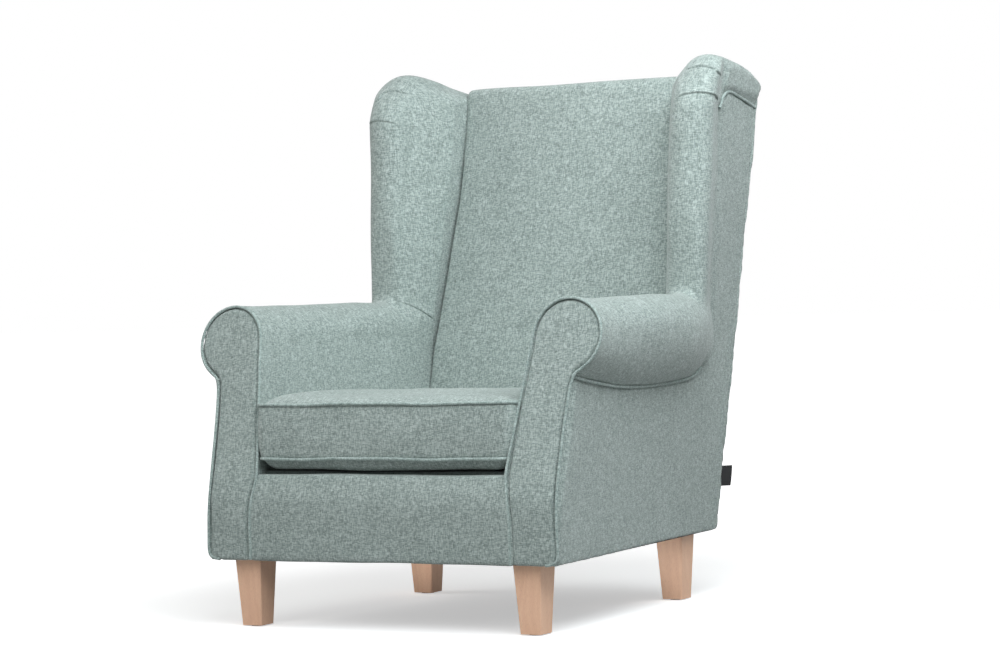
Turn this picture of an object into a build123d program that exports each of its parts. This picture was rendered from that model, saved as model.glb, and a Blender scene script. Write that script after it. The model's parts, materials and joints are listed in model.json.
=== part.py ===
from build123d import *
import os
from math import cos, radians, sin, sqrt, tan

# Upholstered wing armchair: a hardwood frame with a sprung seat, stuffed arms, back and wings, loose cushion.
# Millimetres, +Z up. The chair faces -Y and is the same on both sides of X = 0.
# While it is drawn, y = 0 is the front of the base. At the end it is moved so that the origin lies on the floor
# below its middle. Left and right are the sitter's, so left is +X.

# Legs and their fixings
LEG_HEIGHT = 125.0        # floor to the underside of the covers
LEG_TOP = 56.0            # square leg, at its top
LEG_FOOT = 42.0           # square leg, at its foot
LEG_CHAMFER = 2.0
FRONT_LEG_X = 297.0
FRONT_LEG_Y = 49.0
REAR_LEG_X = 281.0
REAR_LEG_Y = 632.0
GLIDE_RADIUS = 13.0
GLIDE_THICK = 2.0
GLIDE_PIN_RADIUS = 1.5
GLIDE_PIN_LENGTH = 12.0
BOLT_RADIUS = 4.0
BOLT_IN_LEG = 40.0
BORE_SPARE = 1.0          # blind holes are this much deeper than what they hold
BOLT_WAY = 1.0            # radial room round a bolt in the dust cover
TEE_BARREL_RADIUS = 5.5
TEE_FLANGE_RADIUS = 11.0
TEE_FLANGE_THICK = 2.0
FIT = 0.15                # radial room round bolts, pins and dowels

# Outside shape
SIDE_X = 370.0            # half the width of the base at its lower front corner
SIDE_TAPER = 4.0          # degrees that each side narrows towards the back
SIDE_FLARE = 3.3          # degrees that each side opens upwards
BACK_Y = 735.0            # front of the base to the lower edge of the outside back
BACK_RAKE = 11.0          # degrees
BACK_TOP = 1020.0         # top of the stuffed back
FRONT_BEND_RISE = 0.5     # the front rises straight to this far above the seat rails
FRONT_BEND_RADIUS = 150.0
FRONT_LEAN = 15.0         # degrees that the arm facings lean back above the bend

# Frame
BOARD = 22.0              # thickness of rails and boards
RAIL_HEIGHT = 88.0
POST_WIDTH = 30.0
POST_DEPTH = 45.0
POST_TOP = 985.0
TOP_RAIL_HEIGHT = 45.0
LOWER_RAIL_Z = 300.0
LOWER_RAIL_HEIGHT = 60.0
ARM_RAIL_TOP = 434.0
ARM_POST_Y = 84.0
ARM_POST_WIDTH = 60.0
BLOCK_SIZE = 120.0        # side of a corner block
BLOCK_HEIGHT = 40.0
DOWEL_RADIUS = 4.0
DOWEL_LENGTH = 50.0
DOWEL_INSET = 25.0        # from the rail's lower and upper edges
DOWEL_COVER = 5.0         # wood left outside a dowel's end

# Suspension
SPRING_COUNT = 5
SPRING_WIDTH = 50.0
SPRING_PITCH = 28.0
WIRE_RADIUS = 1.9
SPRING_SPACING = 96.0
CLIP_THICK = 1.6
CLIP_WIDTH = 30.0
CLIP_DEPTH = 16.0
STRAP_COUNT = 5
STRAP_WIDTH = 50.0
STRAP_THICK = 2.5
STRAP_LOW_Z = 400.0
STRAP_HIGH_Z = 900.0

# Covers and padding
DUST_COVER = 1.5
DUST_INSET = 8.0
PANEL = 10.0              # outside panels and outside back
PANEL_SEAM_BEHIND = 62.0  # from the middle of the wing's roll to the seam of the outside panel
PANEL_TOP_FRONT_Z = 978.0
PANEL_TOP_BACK_Z = 950.0
BORDER = 14.0             # front border and arm facings
LIP_DEPTH = 44.0          # front lip of the deck
DECK_TOP = 288.0
PIPING_RADIUS = 3.0
SOFT_GAP = 0.3            # between soft pieces that lie against each other

# Arms, measured at the facings
INNER_FOOT_X = 276.0      # inner edge of a facing at its foot
INNER_WAIST_X = 265.0     # inner edge of a facing where the cushion starts
INNER_FOOT_TOP_Z = 207.0
WAIST_Z = 281.0
OUTER_FOOT_X = 374.0
OUTER_WAIST_X = 371.0
NECK_X = 381.0
NECK_Z = 450.0
ROLL_X = 361.0            # middle of the arm roll
ROLL_Z = 526.0
ROLL_RADIUS = 70.0
SCROLL_END = 62.0         # degrees below level where the scroll turns into the neck
BELLY_OUT = 0.7           # underside of the roll: share of its overhang
BELLY_UP = 0.38           # and of its height, halfway round
ARM_TAPER = 1.55          # degrees that the inside arms close towards the back
ARM_GAUGE_Y = 51.0        # the inside arms and rolls are measured here
ARM_RECESS = 4.0          # the inside arm lies this far behind the facing's inner edge
ARM_PAD = 40.0            # thickness of the inside arm
ARM_PAD_FOOT_Z = 250.0
ARM_END_Y = 690.0
ARM_BLEND_Y = 540.0       # the roll starts to fade into the side here
ARM_TUCK = 4.0            # the roll's end stands this far out of the side

# Inside back and wings
SEAT_BACK_Y = 642.0       # inside back, at its edge, level with the cushion
SEAT_BACK_Z = 421.0
INSIDE_RAKE = 15.2        # degrees
BACK_HALF_WIDTH = 257.5
BACK_CROWN = 18.0
BACK_TOP_ROUND = 22.0
WING_GAP = 0.5            # between the back and each wing
WING_ROLL_RADIUS = 43.0
WING_ROLL_X = 333.0       # middle of the wing's front roll, level with the arm
WING_ROLL_Y = 614.0
WING_ROLL_Z = 600.0
WING_LEAN_BACK = 5.9      # degrees
WING_LEAN_OUT = 1.5       # degrees
WING_BOARD_INSET = 10.0   # wing board's front edge, ahead of the roll's middle
WING_BOARD_TOP = 1000.0
WING_TOP = 1050.0
WING_ARC = (195, 277, 360)  # degrees round the front roll: inner face, front, outside
WING_OVERRUN = 28.0       # the rounded top is drawn this far past the wing's front and rear
WING_FRONT_DROP = 52.0    # crest below the wing's top, at the front of the roll
WING_MIDDLE_DROP = 9.0    # at the middle of the roll
WING_BEHIND_DROP = 13.0   # halfway from the seam to the rear
WING_REAR_DROP = 43.0     # at the outside back
WING_BEFORE_DROP = 137.0  # at the front overrun
WING_AFTER_DROP = 79.0    # at the rear overrun

# Loose cushion
CUSHION_FRONT_Y = 16.0    # front of the bottom piping, at its corners
CUSHION_LEAN = 6.0        # degrees that the front border leans back
SEAT_PITCH = 2.5          # degrees that the cushion's top falls to the rear
CUSHION_SIDE_GAP = 0.5    # piping to the facings' inner edges
CUSHION_BACK_GAP = 12.0   # rear border to inside back
CUSHION_LOW_Z = 312.0     # bottom piping
CUSHION_HIGH_Z = 411.0    # top piping, at the front
CUSHION_CROWN = 23.0
CROWN_STEPS = ((0, 0), (0.5, 18), (0.86, 60), (1, 130))  # share of the crown's rise, and inset there
BELLY_STEPS = ((0, 0), (0.55, 12), (0.88, 40), (1, 100))  # the same, below the bottom piping
CUSHION_CORNER = 9.0
CUSHION_PULL = 5.0        # sides drawn in between the corners
CUSHION_BOW = 4.0         # front bowed out
COVER_THICK = 2.5
ZIP_LENGTH = 380.0
ZIP_TAPE = 24.0
ZIP_TAPE_THICK = 1.2
ZIP_CHAIN = 5.0
ZIP_CHAIN_THICK = 1.6
SLIDER_LENGTH = 9.0
SLIDER_WIDTH = 9.0
SLIDER_WALL = 1.2
SLIDER_ROOM = 0.3
PULL_LENGTH = 18.0
PULL_WIDTH = 6.0
PULL_THICK = 1.2

# Label in the rear seam
LABEL_Z = 232.0
LABEL_HEIGHT = 36.0
LABEL_REACH = 24.0
LABEL_THICK = 1.2

# Worked out from the above
REACH = 3000.0            # larger than the chair, for cutting blocks
FRAME_Z = LEG_HEIGHT + DUST_COVER
RAIL_TOP = FRAME_Z + RAIL_HEIGHT
FRONT_BEND_Z = RAIL_TOP + FRONT_BEND_RISE
SPRING_Z = RAIL_TOP + CLIP_THICK + SOFT_GAP + WIRE_RADIUS
CLIP_TOP = SPRING_Z + WIRE_RADIUS + SOFT_GAP + CLIP_THICK
DECK_FOOT = SPRING_Z + WIRE_RADIUS + SOFT_GAP
POST_FRONT = PANEL + POST_DEPTH                      # depth of the posts' front, from the outside back
PAD_REAR = POST_FRONT + STRAP_THICK + SOFT_GAP
PIPING_STAND = 2 * PIPING_RADIUS + SOFT_GAP          # a border lies this far behind its piping's outside
SIDES = {"left": 1, "right": -1}


def for_side(shape, side):
    """A piece drawn for the left, put on the named side."""
    return shape if SIDES[side] > 0 else mirror(shape, about=Plane.YZ)


def side_x(y, z):
    """X of the left outside face."""
    return SIDE_X - tan(radians(SIDE_TAPER)) * y + tan(radians(SIDE_FLARE)) * (z - LEG_HEIGHT)


def side_plane(depth):
    """The left outside face, moved inwards by depth."""
    taper = tan(radians(SIDE_TAPER))
    normal = Vector(1, taper, -tan(radians(SIDE_FLARE))).normalized()
    return Plane(origin=Vector(SIDE_X, 0, LEG_HEIGHT) - normal * depth, x_dir=(-taper, 1, 0), z_dir=normal)


def side_layer(depth, thickness):
    """The layer of the left side that starts depth behind the outside face."""
    return extrude(side_plane(depth + thickness) * Rectangle(REACH, REACH), amount=thickness)


def between_sides(shape, depth):
    """What of a shape lies between the two sides, depth behind their outside faces."""
    left = extrude(side_plane(depth) * Rectangle(REACH, REACH), amount=-REACH)
    return shape & left & mirror(left, about=Plane.YZ)


def back_y(z, depth=0.0):
    """Y of the outside back at a height, or of a plane that lies depth in front of it."""
    return BACK_Y + (z - LEG_HEIGHT) * tan(radians(BACK_RAKE)) - depth / cos(radians(BACK_RAKE))


def inside_back_y(z):
    """Y of the inside back's edge at a height."""
    return SEAT_BACK_Y + (z - SEAT_BACK_Z) * tan(radians(INSIDE_RAKE))


def arm_inner_x(y, z):
    """X of the left inside arm."""
    slope = (ROLL_X - ROLL_RADIUS - INNER_WAIST_X) / (ROLL_Z - WAIST_Z)
    edge = INNER_WAIST_X + slope * (z - WAIST_Z) - tan(radians(ARM_TAPER)) * (y - ARM_GAUGE_Y)
    return edge + ARM_RECESS


def yz_prism(points, low_x=-REACH / 2, high_x=REACH / 2):
    """A prism along X with an outline of (y, z) points."""
    face = make_face(Polyline(*points, close=True))
    return extrude(Plane.YZ.offset(low_x) * face, amount=high_x - low_x)


def flat_plate(points, low_z, high_z):
    """A plate with an outline of (x, y) points."""
    return extrude(Plane.XY.offset(low_z) * make_face(Polyline(*points, close=True)), amount=high_z - low_z)


def cylinder(radius, start, end):
    """A round bar between two points."""
    axis = Vector(*end) - Vector(*start)
    return extrude(Plane(origin=start, z_dir=axis) * Circle(radius), amount=axis.length)


def raked_board(depth, thickness, low_z, high_z):
    """A full-width board that follows the rake of the outside back."""
    front = depth + thickness
    return yz_prism([
        (back_y(low_z, front), low_z),
        (back_y(low_z, depth), low_z),
        (back_y(high_z, depth), high_z),
        (back_y(high_z, front), high_z),
    ])


def ahead_of_front(depth):
    """Everything ahead of the line that lies depth behind the face of the base and arms."""
    radius = FRONT_BEND_RADIUS - depth
    lean = radians(FRONT_LEAN)
    bend = [
        (FRONT_BEND_RADIUS - radius * cos(turn), FRONT_BEND_Z + radius * sin(turn))
        for turn in (0, lean / 2, lean)
    ]
    top = (bend[2][0] + tan(lean) * REACH / 2, bend[2][1] + REACH / 2)
    foot = (bend[0][0], 0)
    outline = [
        Line(foot, bend[0]),
        ThreePointArc(*bend),
        Line(bend[2], top),
        Polyline(top, (-REACH, top[1]), (-REACH, 0), foot),
    ]
    return extrude(Plane.YZ * make_face(outline), amount=REACH / 2, both=True)


def roll_point(degrees):
    """A point on the arm's scroll, turned up from its outermost point."""
    turn = radians(degrees)
    return (ROLL_X + ROLL_RADIUS * cos(turn), ROLL_Z + ROLL_RADIUS * sin(turn))


def facing_prism(inset):
    """A prism along Y with the outline of the left arm facing, moved inwards by inset."""
    foot_in = (INNER_FOOT_X, LEG_HEIGHT)
    foot_out = (OUTER_FOOT_X, LEG_HEIGHT)
    neck = (NECK_X, NECK_Z)
    outline = [
        Polyline(foot_in, (INNER_FOOT_X, INNER_FOOT_TOP_Z), (INNER_WAIST_X, WAIST_Z), roll_point(180)),
        ThreePointArc(roll_point(180), roll_point(135), roll_point(90)),
        ThreePointArc(roll_point(90), roll_point(45), roll_point(0)),
        ThreePointArc(roll_point(0), roll_point(-SCROLL_END / 2), roll_point(-SCROLL_END)),
        Line(roll_point(-SCROLL_END), neck),
        ThreePointArc(neck, (OUTER_WAIST_X, WAIST_Z), foot_out),
        Line(foot_out, foot_in),
    ]
    face = make_face(outline)
    if inset:
        face = offset(face, amount=-inset)
    return extrude(Plane.XZ * face, amount=REACH / 4, both=True)


# Wooden frame

def rail_outline(front_y, depth):
    """Side view of a seat rail that ends against the back posts."""
    return [
        (front_y, FRAME_Z),
        (back_y(FRAME_Z, depth), FRAME_Z),
        (back_y(RAIL_TOP, depth), RAIL_TOP),
        (front_y, RAIL_TOP),
    ]


def dowel_places():
    """Ends of the left dowels: front rail then back rail, lower then upper."""
    back_depth = POST_FRONT - BOARD / 2
    for front in (True, False):
        for z in (FRAME_Z + DOWEL_INSET, RAIL_TOP - DOWEL_INSET):
            y = BORDER + BOARD / 2 if front else back_y(z, back_depth)
            x = side_x(y, z) - PANEL - DOWEL_COVER - DOWEL_LENGTH
            yield (x, y, z), (x + DOWEL_LENGTH, y, z)


def frame_dowels(room=0.0):
    left = [cylinder(DOWEL_RADIUS + room, start, end) for start, end in dowel_places()]
    return left + [mirror(dowel, about=Plane.YZ) for dowel in left]


def cut_all(shape, tools):
    for tool in tools:
        shape = shape - tool
    return shape


def front_seat_rail():
    rail = yz_prism([
        (BORDER, FRAME_Z),
        (BORDER + BOARD, FRAME_Z),
        (BORDER + BOARD, RAIL_TOP),
        (BORDER, RAIL_TOP),
    ])
    return cut_all(between_sides(rail, PANEL + BOARD), frame_dowels(FIT))


def back_seat_rail():
    rail = raked_board(POST_FRONT - BOARD, BOARD, FRAME_Z, RAIL_TOP)
    return cut_all(between_sides(rail, PANEL + POST_WIDTH), frame_dowels(FIT))


def side_rail():
    return cut_all(yz_prism(rail_outline(BORDER, POST_FRONT)) & side_layer(PANEL, BOARD), frame_dowels(FIT))


def back_post():
    post = raked_board(PANEL, POST_DEPTH, FRAME_Z, POST_TOP) & side_layer(PANEL, POST_WIDTH)
    left = post & Pos(REACH / 2, 0, 0) * Box(REACH, REACH, REACH)
    return cut_all(left, frame_dowels(FIT))


def back_top_rail():
    return between_sides(raked_board(PANEL, BOARD, POST_TOP - TOP_RAIL_HEIGHT, POST_TOP), PANEL + POST_WIDTH)


def back_lower_rail():
    low = LOWER_RAIL_Z
    return between_sides(raked_board(PANEL, BOARD, low, low + LOWER_RAIL_HEIGHT), PANEL + POST_WIDTH)


def arm_post():
    foot = ARM_RAIL_TOP - BOARD
    post = yz_prism([
        (ARM_POST_Y, RAIL_TOP),
        (ARM_POST_Y + ARM_POST_WIDTH, RAIL_TOP),
        (ARM_POST_Y + ARM_POST_WIDTH, foot),
        (ARM_POST_Y, foot),
    ])
    return post & side_layer(PANEL, BOARD)


def arm_rail(pad):
    foot = ARM_RAIL_TOP - BOARD
    rail = yz_prism([
        (ARM_POST_Y, foot),
        (back_y(foot, POST_FRONT), foot),
        (back_y(ARM_RAIL_TOP, POST_FRONT), ARM_RAIL_TOP),
        (ARM_POST_Y, ARM_RAIL_TOP),
    ])
    edge = flat_plate([
        (arm_inner_x(0, ARM_RAIL_TOP) + ARM_PAD, 0),
        (REACH, 0),
        (REACH, REACH),
        (arm_inner_x(REACH, ARM_RAIL_TOP) + ARM_PAD, REACH),
    ], 0, REACH)
    return (rail & side_layer(PANEL, REACH / 4) & edge) - pad


def wing_roll(z):
    """Plan position of the middle of the wing's front roll at a height."""
    rise = z - WING_ROLL_Z
    return (WING_ROLL_X + rise * tan(radians(WING_LEAN_OUT)), WING_ROLL_Y + rise * tan(radians(WING_LEAN_BACK)))


def wing_board():
    shoulder = WING_BOARD_TOP - WING_ROLL_RADIUS
    board = yz_prism([
        (wing_roll(ARM_RAIL_TOP)[1] - WING_BOARD_INSET, ARM_RAIL_TOP),
        (back_y(ARM_RAIL_TOP, POST_FRONT), ARM_RAIL_TOP),
        (back_y(PANEL_TOP_BACK_Z, POST_FRONT), PANEL_TOP_BACK_Z),
        (wing_roll(WING_BOARD_TOP)[1] + WING_ROLL_RADIUS, WING_BOARD_TOP),
        (wing_roll(shoulder)[1] - WING_BOARD_INSET, shoulder),
    ])
    return board & side_layer(PANEL, BOARD)


def leg_places():
    for y, x in ((FRONT_LEG_Y, FRONT_LEG_X), (REAR_LEG_Y, REAR_LEG_X)):
        for side in SIDES.values():
            yield side * x, y


def corner_blocks():
    """A block behind each corner of the seat frame, bored for the leg's tee nut."""
    blocks = []
    for x, y in leg_places():
        half = BLOCK_SIZE / 2
        low = max(y - half, BORDER + BOARD)
        centre = Pos(x, (low + y + half) / 2, FRAME_Z + BLOCK_HEIGHT / 2)
        block = between_sides(centre * Box(BLOCK_SIZE, y + half - low, BLOCK_HEIGHT), PANEL + BOARD)
        block = block - cylinder(TEE_BARREL_RADIUS + FIT, (x, y, 0), (x, y, REACH))
        blocks.append(block - raked_board(0, POST_FRONT, 0, REACH))
    return blocks


# Suspension

def spring_ends():
    """Y of the first and last bar of every seat spring."""
    return BORDER + BOARD / 2, back_y(RAIL_TOP, POST_FRONT - BOARD / 2)


def seat_spring(x):
    """One unbroken wire: straight bars across, joined by half turns on alternate sides."""
    front, back = spring_ends()
    gaps = round((back - front) / SPRING_PITCH)
    pitch = (back - front) / gaps
    radius = pitch / 2
    half = SPRING_WIDTH / 2 - radius
    path = []
    for bar in range(gaps + 1):
        y = front + bar * pitch
        way = 1 if bar % 2 == 0 else -1
        path.append(Line((x - way * half, y, SPRING_Z), (x + way * half, y, SPRING_Z)))
        if bar < gaps:
            path.append(ThreePointArc(
                (x + way * half, y, SPRING_Z),
                (x + way * (half + radius), y + radius, SPRING_Z),
                (x + way * half, y + pitch, SPRING_Z),
            ))
    start = Plane(origin=(x - half, front, SPRING_Z), z_dir=(1, 0, 0))
    return sweep(start * Circle(WIRE_RADIUS), path=Wire(path))


def spring_places():
    return [SPRING_SPACING * (i - (SPRING_COUNT - 1) / 2) for i in range(SPRING_COUNT)]


def seat_springs():
    return [seat_spring(x) for x in spring_places()]


def spring_clips():
    """Steel clips on the rails, each hooked over the end bar of a spring and open towards the seat."""
    clips = []
    width = min(CLIP_WIDTH, SPRING_WIDTH - SPRING_PITCH)
    for y, way in zip(spring_ends(), (1, -1)):
        outer = [(y - way * CLIP_DEPTH / 2, RAIL_TOP), (y + way * CLIP_DEPTH / 2, RAIL_TOP),
                 (y + way * CLIP_DEPTH / 2, CLIP_TOP), (y - way * CLIP_DEPTH / 2, CLIP_TOP)]
        back = y - way * (WIRE_RADIUS + SOFT_GAP)
        low = RAIL_TOP + CLIP_THICK
        high = CLIP_TOP - CLIP_THICK
        slot = [(back, low), (y + way * CLIP_DEPTH, low), (y + way * CLIP_DEPTH, high), (back, high)]
        for x in spring_places():
            clip = yz_prism(outer, x - width / 2, x + width / 2)
            clips.append(clip - yz_prism(slot, x - width, x + width))
    return clips


def back_webbing():
    """Straps stretched across the front of the back posts."""
    straps = []
    for i in range(STRAP_COUNT):
        z = STRAP_LOW_Z + (STRAP_HIGH_Z - STRAP_LOW_Z) * i / (STRAP_COUNT - 1)
        strap = raked_board(POST_FRONT, STRAP_THICK, z - STRAP_WIDTH / 2, z + STRAP_WIDTH / 2)
        strap = between_sides(strap, PANEL + POST_WIDTH / 2)
        straps.append(strap & Box(2 * BACK_HALF_WIDTH + POST_WIDTH, REACH, REACH))
    return straps


# Covers and padding

def outside_panel():
    """The outside of an arm and its wing in one sheet."""
    seam_high = wing_roll(PANEL_TOP_BACK_Z)[1] + PANEL_SEAM_BEHIND
    panel = yz_prism([
        (0, FRAME_Z),
        (back_y(FRAME_Z, PANEL), FRAME_Z),
        (back_y(PANEL_TOP_BACK_Z, PANEL), PANEL_TOP_BACK_Z),
        (seam_high + WING_ROLL_RADIUS, PANEL_TOP_FRONT_Z),
        (seam_high, PANEL_TOP_BACK_Z),
        (ARM_END_Y, ROLL_Z),
        (panel_turn_y(), ARM_RAIL_TOP),
        (0, ARM_RAIL_TOP),
    ])
    return (panel & side_layer(0, PANEL)) - ahead_of_front(BORDER)


def arm_section(y, out_x):
    """Section of an arm: the inside arm and the roll, which reaches out to out_x."""
    in_x = arm_inner_x(y, ROLL_Z)
    middle = (in_x + out_x) / 2
    half = (out_x - in_x) / 2
    high = ROLL_Z + ROLL_RADIUS
    slant = sqrt(0.5)
    under_x = side_x(y, ARM_RAIL_TOP)
    foot_x = arm_inner_x(y, ARM_PAD_FOOT_Z)
    crook_x = arm_inner_x(y, ARM_RAIL_TOP) + ARM_PAD
    outer = (out_x, ROLL_Z)
    under = (under_x, ARM_RAIL_TOP)
    belly = (under_x + (out_x - under_x) * BELLY_OUT, ARM_RAIL_TOP + (ROLL_Z - ARM_RAIL_TOP) * BELLY_UP)
    outline = [
        Line((foot_x, ARM_PAD_FOOT_Z), (in_x, ROLL_Z)),
        ThreePointArc((in_x, ROLL_Z), (middle - half * slant, ROLL_Z + ROLL_RADIUS * slant), (middle, high)),
        ThreePointArc((middle, high), (middle + half * slant, ROLL_Z + ROLL_RADIUS * slant), outer),
        ThreePointArc(outer, belly, under),
        Polyline(under, (crook_x, ARM_RAIL_TOP), (foot_x + ARM_PAD, ARM_PAD_FOOT_Z), (foot_x, ARM_PAD_FOOT_Z)),
    ]
    return Plane.XZ.offset(-y) * make_face(outline)


def arm_body():
    """The arm before the frame is cut out of it."""
    taper = tan(radians(SIDE_TAPER))
    sections = []
    for y in (0, ARM_BLEND_Y / 2, ARM_BLEND_Y):
        sections.append(arm_section(y, ROLL_X + ROLL_RADIUS - taper * (y - ARM_GAUGE_Y)))
    sections.append(arm_section(ARM_END_Y, side_x(ARM_END_Y, ROLL_Z) + ARM_TUCK))
    turn_up = yz_prism([
        (panel_turn_y(), 0),
        (REACH, 0),
        (REACH, ROLL_Z),
        (ARM_END_Y, ROLL_Z),
        (panel_turn_y(), ARM_RAIL_TOP),
    ])
    outside = side_layer(-REACH / 8, REACH / 8 + PANEL)
    return loft(sections) - ahead_of_front(BORDER) - (turn_up & outside)


def panel_turn_y():
    """Where the lower edge of the arm roll turns up towards its end."""
    return ARM_END_Y - PANEL_SEAM_BEHIND


def arm_facing():
    return facing_prism(2 * PIPING_RADIUS) & (ahead_of_front(BORDER) - ahead_of_front(0))


def facing_piping():
    """The welt round a facing, open at the foot."""
    ring = facing_prism(0) - facing_prism(2 * PIPING_RADIUS)
    welt = ring & (ahead_of_front(BORDER) - ahead_of_front(-PIPING_RADIUS))
    return welt - Box(REACH, REACH, 2 * (LEG_HEIGHT + 2 * PIPING_RADIUS))


def side_tube(points, bend, radius):
    """Piping laid along (y, z) points on the left outside face."""
    stand_off = PIPING_RADIUS + SOFT_GAP
    plane = side_plane(-stand_off)
    up = cos(radians(SIDE_FLARE))
    along = cos(radians(SIDE_TAPER))
    local = [(y / along, (z - LEG_HEIGHT) / up) for y, z in points]
    path = plane * FilletPolyline(*local, radius=bend)
    return sweep(Plane(origin=path @ 0, z_dir=path % 0) * Circle(radius), path=path)


def arm_piping(radius):
    """Piping below the roll, which turns up where the roll ends."""
    drop = radius + SOFT_GAP
    low = ARM_RAIL_TOP - drop
    points = [(ARM_POST_Y, low), (panel_turn_y() + drop, low), (ARM_END_Y + drop, ROLL_Z - BORDER)]
    return side_tube(points, PANEL_SEAM_BEHIND / 2, radius)


def wing_piping():
    """Piping below the wing's top, on the outside."""
    seam = wing_roll(PANEL_TOP_BACK_Z)[1] + PANEL_SEAM_BEHIND
    drop = 2 * PIPING_RADIUS
    return side_tube([
        (seam + drop, PANEL_TOP_BACK_Z - drop),
        (seam + WING_ROLL_RADIUS, PANEL_TOP_FRONT_Z - drop),
        (back_y(PANEL_TOP_BACK_Z, PANEL), PANEL_TOP_BACK_Z - drop),
    ], BORDER, PIPING_RADIUS)


def wing_section(z):
    """Plan of a wing: inner face, front roll, and the outside back to the rear seam."""
    mid_x, mid_y = wing_roll(z)
    turned = [radians(a) for a in WING_ARC]
    arc = [(mid_x + WING_ROLL_RADIUS * cos(a), mid_y + WING_ROLL_RADIUS * sin(a)) for a in turned]
    seam_y = mid_y + PANEL_SEAM_BEHIND
    rear = back_y(z)
    inner_x = BACK_HALF_WIDTH + WING_GAP
    groove = (inner_x, inside_back_y(z))
    outline = [
        Line(groove, arc[0]),
        ThreePointArc(*arc),
        Polyline(arc[2], (side_x(seam_y, z), seam_y), (side_x(rear, z), rear), (inner_x, rear), groove),
    ]
    return Plane.XY.offset(z) * make_face(outline)


def wing_arch(y, top, drop, in_x, out_x):
    """Section across the wing's rounded top."""
    outline = [
        Line((in_x, 0), (in_x, top - drop)),
        ThreePointArc((in_x, top - drop), ((in_x + out_x) / 2, top), (out_x, top - drop)),
        Polyline((out_x, top - drop), (out_x, 0), (in_x, 0)),
    ]
    return Plane.XZ.offset(-y) * make_face(outline)


def wing_body():
    """The wing before the frame is cut out of it: a leaning prism under a rounded top."""
    upright = loft([wing_section(ROLL_Z), wing_section(WING_TOP + BORDER)], ruled=True)
    mid_x, mid_y = wing_roll(WING_TOP)
    front = mid_y - WING_ROLL_RADIUS
    rear = back_y(PANEL_TOP_BACK_Z)
    front_x = mid_x - WING_ROLL_RADIUS
    out_x = mid_x + WING_ROLL_RADIUS + PANEL
    seam = mid_y + PANEL_SEAM_BEHIND
    crest = [
        (front - WING_OVERRUN, WING_BEFORE_DROP),
        (front, WING_FRONT_DROP),
        (mid_y, WING_MIDDLE_DROP),
        (seam, 0),
        ((seam + rear) / 2, WING_BEHIND_DROP),
        (rear, WING_REAR_DROP),
        (rear + WING_OVERRUN, WING_AFTER_DROP),
    ]
    arches = []
    for y, lower in crest:
        share = (y - front) / (rear - front)
        in_x = front_x + (BACK_HALF_WIDTH - front_x) * share
        arches.append(wing_arch(y, WING_TOP - lower, WING_ROLL_RADIUS, in_x, out_x))
    return upright & loft(arches)


def back_section(z):
    """Plan of the stuffed back, with its crown."""
    edge = inside_back_y(z)
    rear = back_y(z)
    left = (BACK_HALF_WIDTH, edge)
    right = (-BACK_HALF_WIDTH, edge)
    outline = [
        ThreePointArc(right, (0, edge - BACK_CROWN), left),
        Polyline(left, (BACK_HALF_WIDTH, rear), (-BACK_HALF_WIDTH, rear), right),
    ]
    return Plane.XY.offset(z) * make_face(outline)


def back_body():
    """The back before the frame is cut out of it."""
    return loft([back_section(DECK_TOP + SOFT_GAP), back_section(BACK_TOP)], ruled=True)


def back_pad():
    """The inside back, pulled over the top rail to the outside back."""
    body = back_body()
    top_edges = body.faces().sort_by(Axis.Z)[-1].edges()
    body = fillet(top_edges.sort_by(Axis.Y)[0], BACK_TOP_ROUND)
    return body - raked_board(0, PAD_REAR, 0, POST_TOP)


def outside_back():
    return between_sides(raked_board(0, PANEL, FRAME_Z, POST_TOP), 0)


def front_border():
    """The covered front of the base, with the lip that the cushion stands behind."""
    lip_foot = CLIP_TOP + SOFT_GAP
    sheet = yz_prism([(0, LEG_HEIGHT), (BORDER, LEG_HEIGHT), (BORDER, DECK_TOP), (0, DECK_TOP)])
    lip = yz_prism([(BORDER, lip_foot), (LIP_DEPTH, lip_foot), (LIP_DEPTH, DECK_TOP), (BORDER, DECK_TOP)])
    middle = Box(2 * INNER_FOOT_X, REACH, REACH)
    left = facing_prism(0)
    border = (sheet + lip - arm_sides(lip_foot)) & middle
    return border - ahead_of_front(0) - left - mirror(left, about=Plane.YZ)


def arm_sides(low_z):
    """Blocks that fill the space outside the inside arms, above a height, with a gap to what lies between."""
    high_z = REACH / 4
    left = loft([
        Plane.XZ.offset(-y) * make_face(Polyline(
            (arm_inner_x(y, low_z) - SOFT_GAP, low_z),
            (arm_inner_x(y, high_z) - SOFT_GAP, high_z),
            (REACH / 4, high_z),
            (REACH / 4, low_z),
            close=True,
        ))
        for y in (BORDER, REACH / 2)
    ], ruled=True)
    return left + mirror(left, about=Plane.YZ)


def seat_deck():
    """Padding on the springs, below the loose cushion."""
    rear = inside_back_y(DECK_FOOT) - BACK_CROWN
    deck = Pos(0, (LIP_DEPTH + rear) / 2, (DECK_FOOT + DECK_TOP) / 2)
    return deck * Box(2 * INNER_FOOT_X, rear - LIP_DEPTH, DECK_TOP - DECK_FOOT) - arm_sides(DECK_FOOT)


def dust_cover():
    rear = back_y(LEG_HEIGHT, PANEL)
    sheet = flat_plate([(-REACH, BORDER), (REACH, BORDER), (REACH, rear), (-REACH, rear)], LEG_HEIGHT, FRAME_Z)
    sheet = between_sides(sheet, DUST_INSET)
    return cut_all(sheet, [cylinder(BOLT_RADIUS + BOLT_WAY, (x, y, 0), (x, y, REACH)) for x, y in leg_places()])


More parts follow.
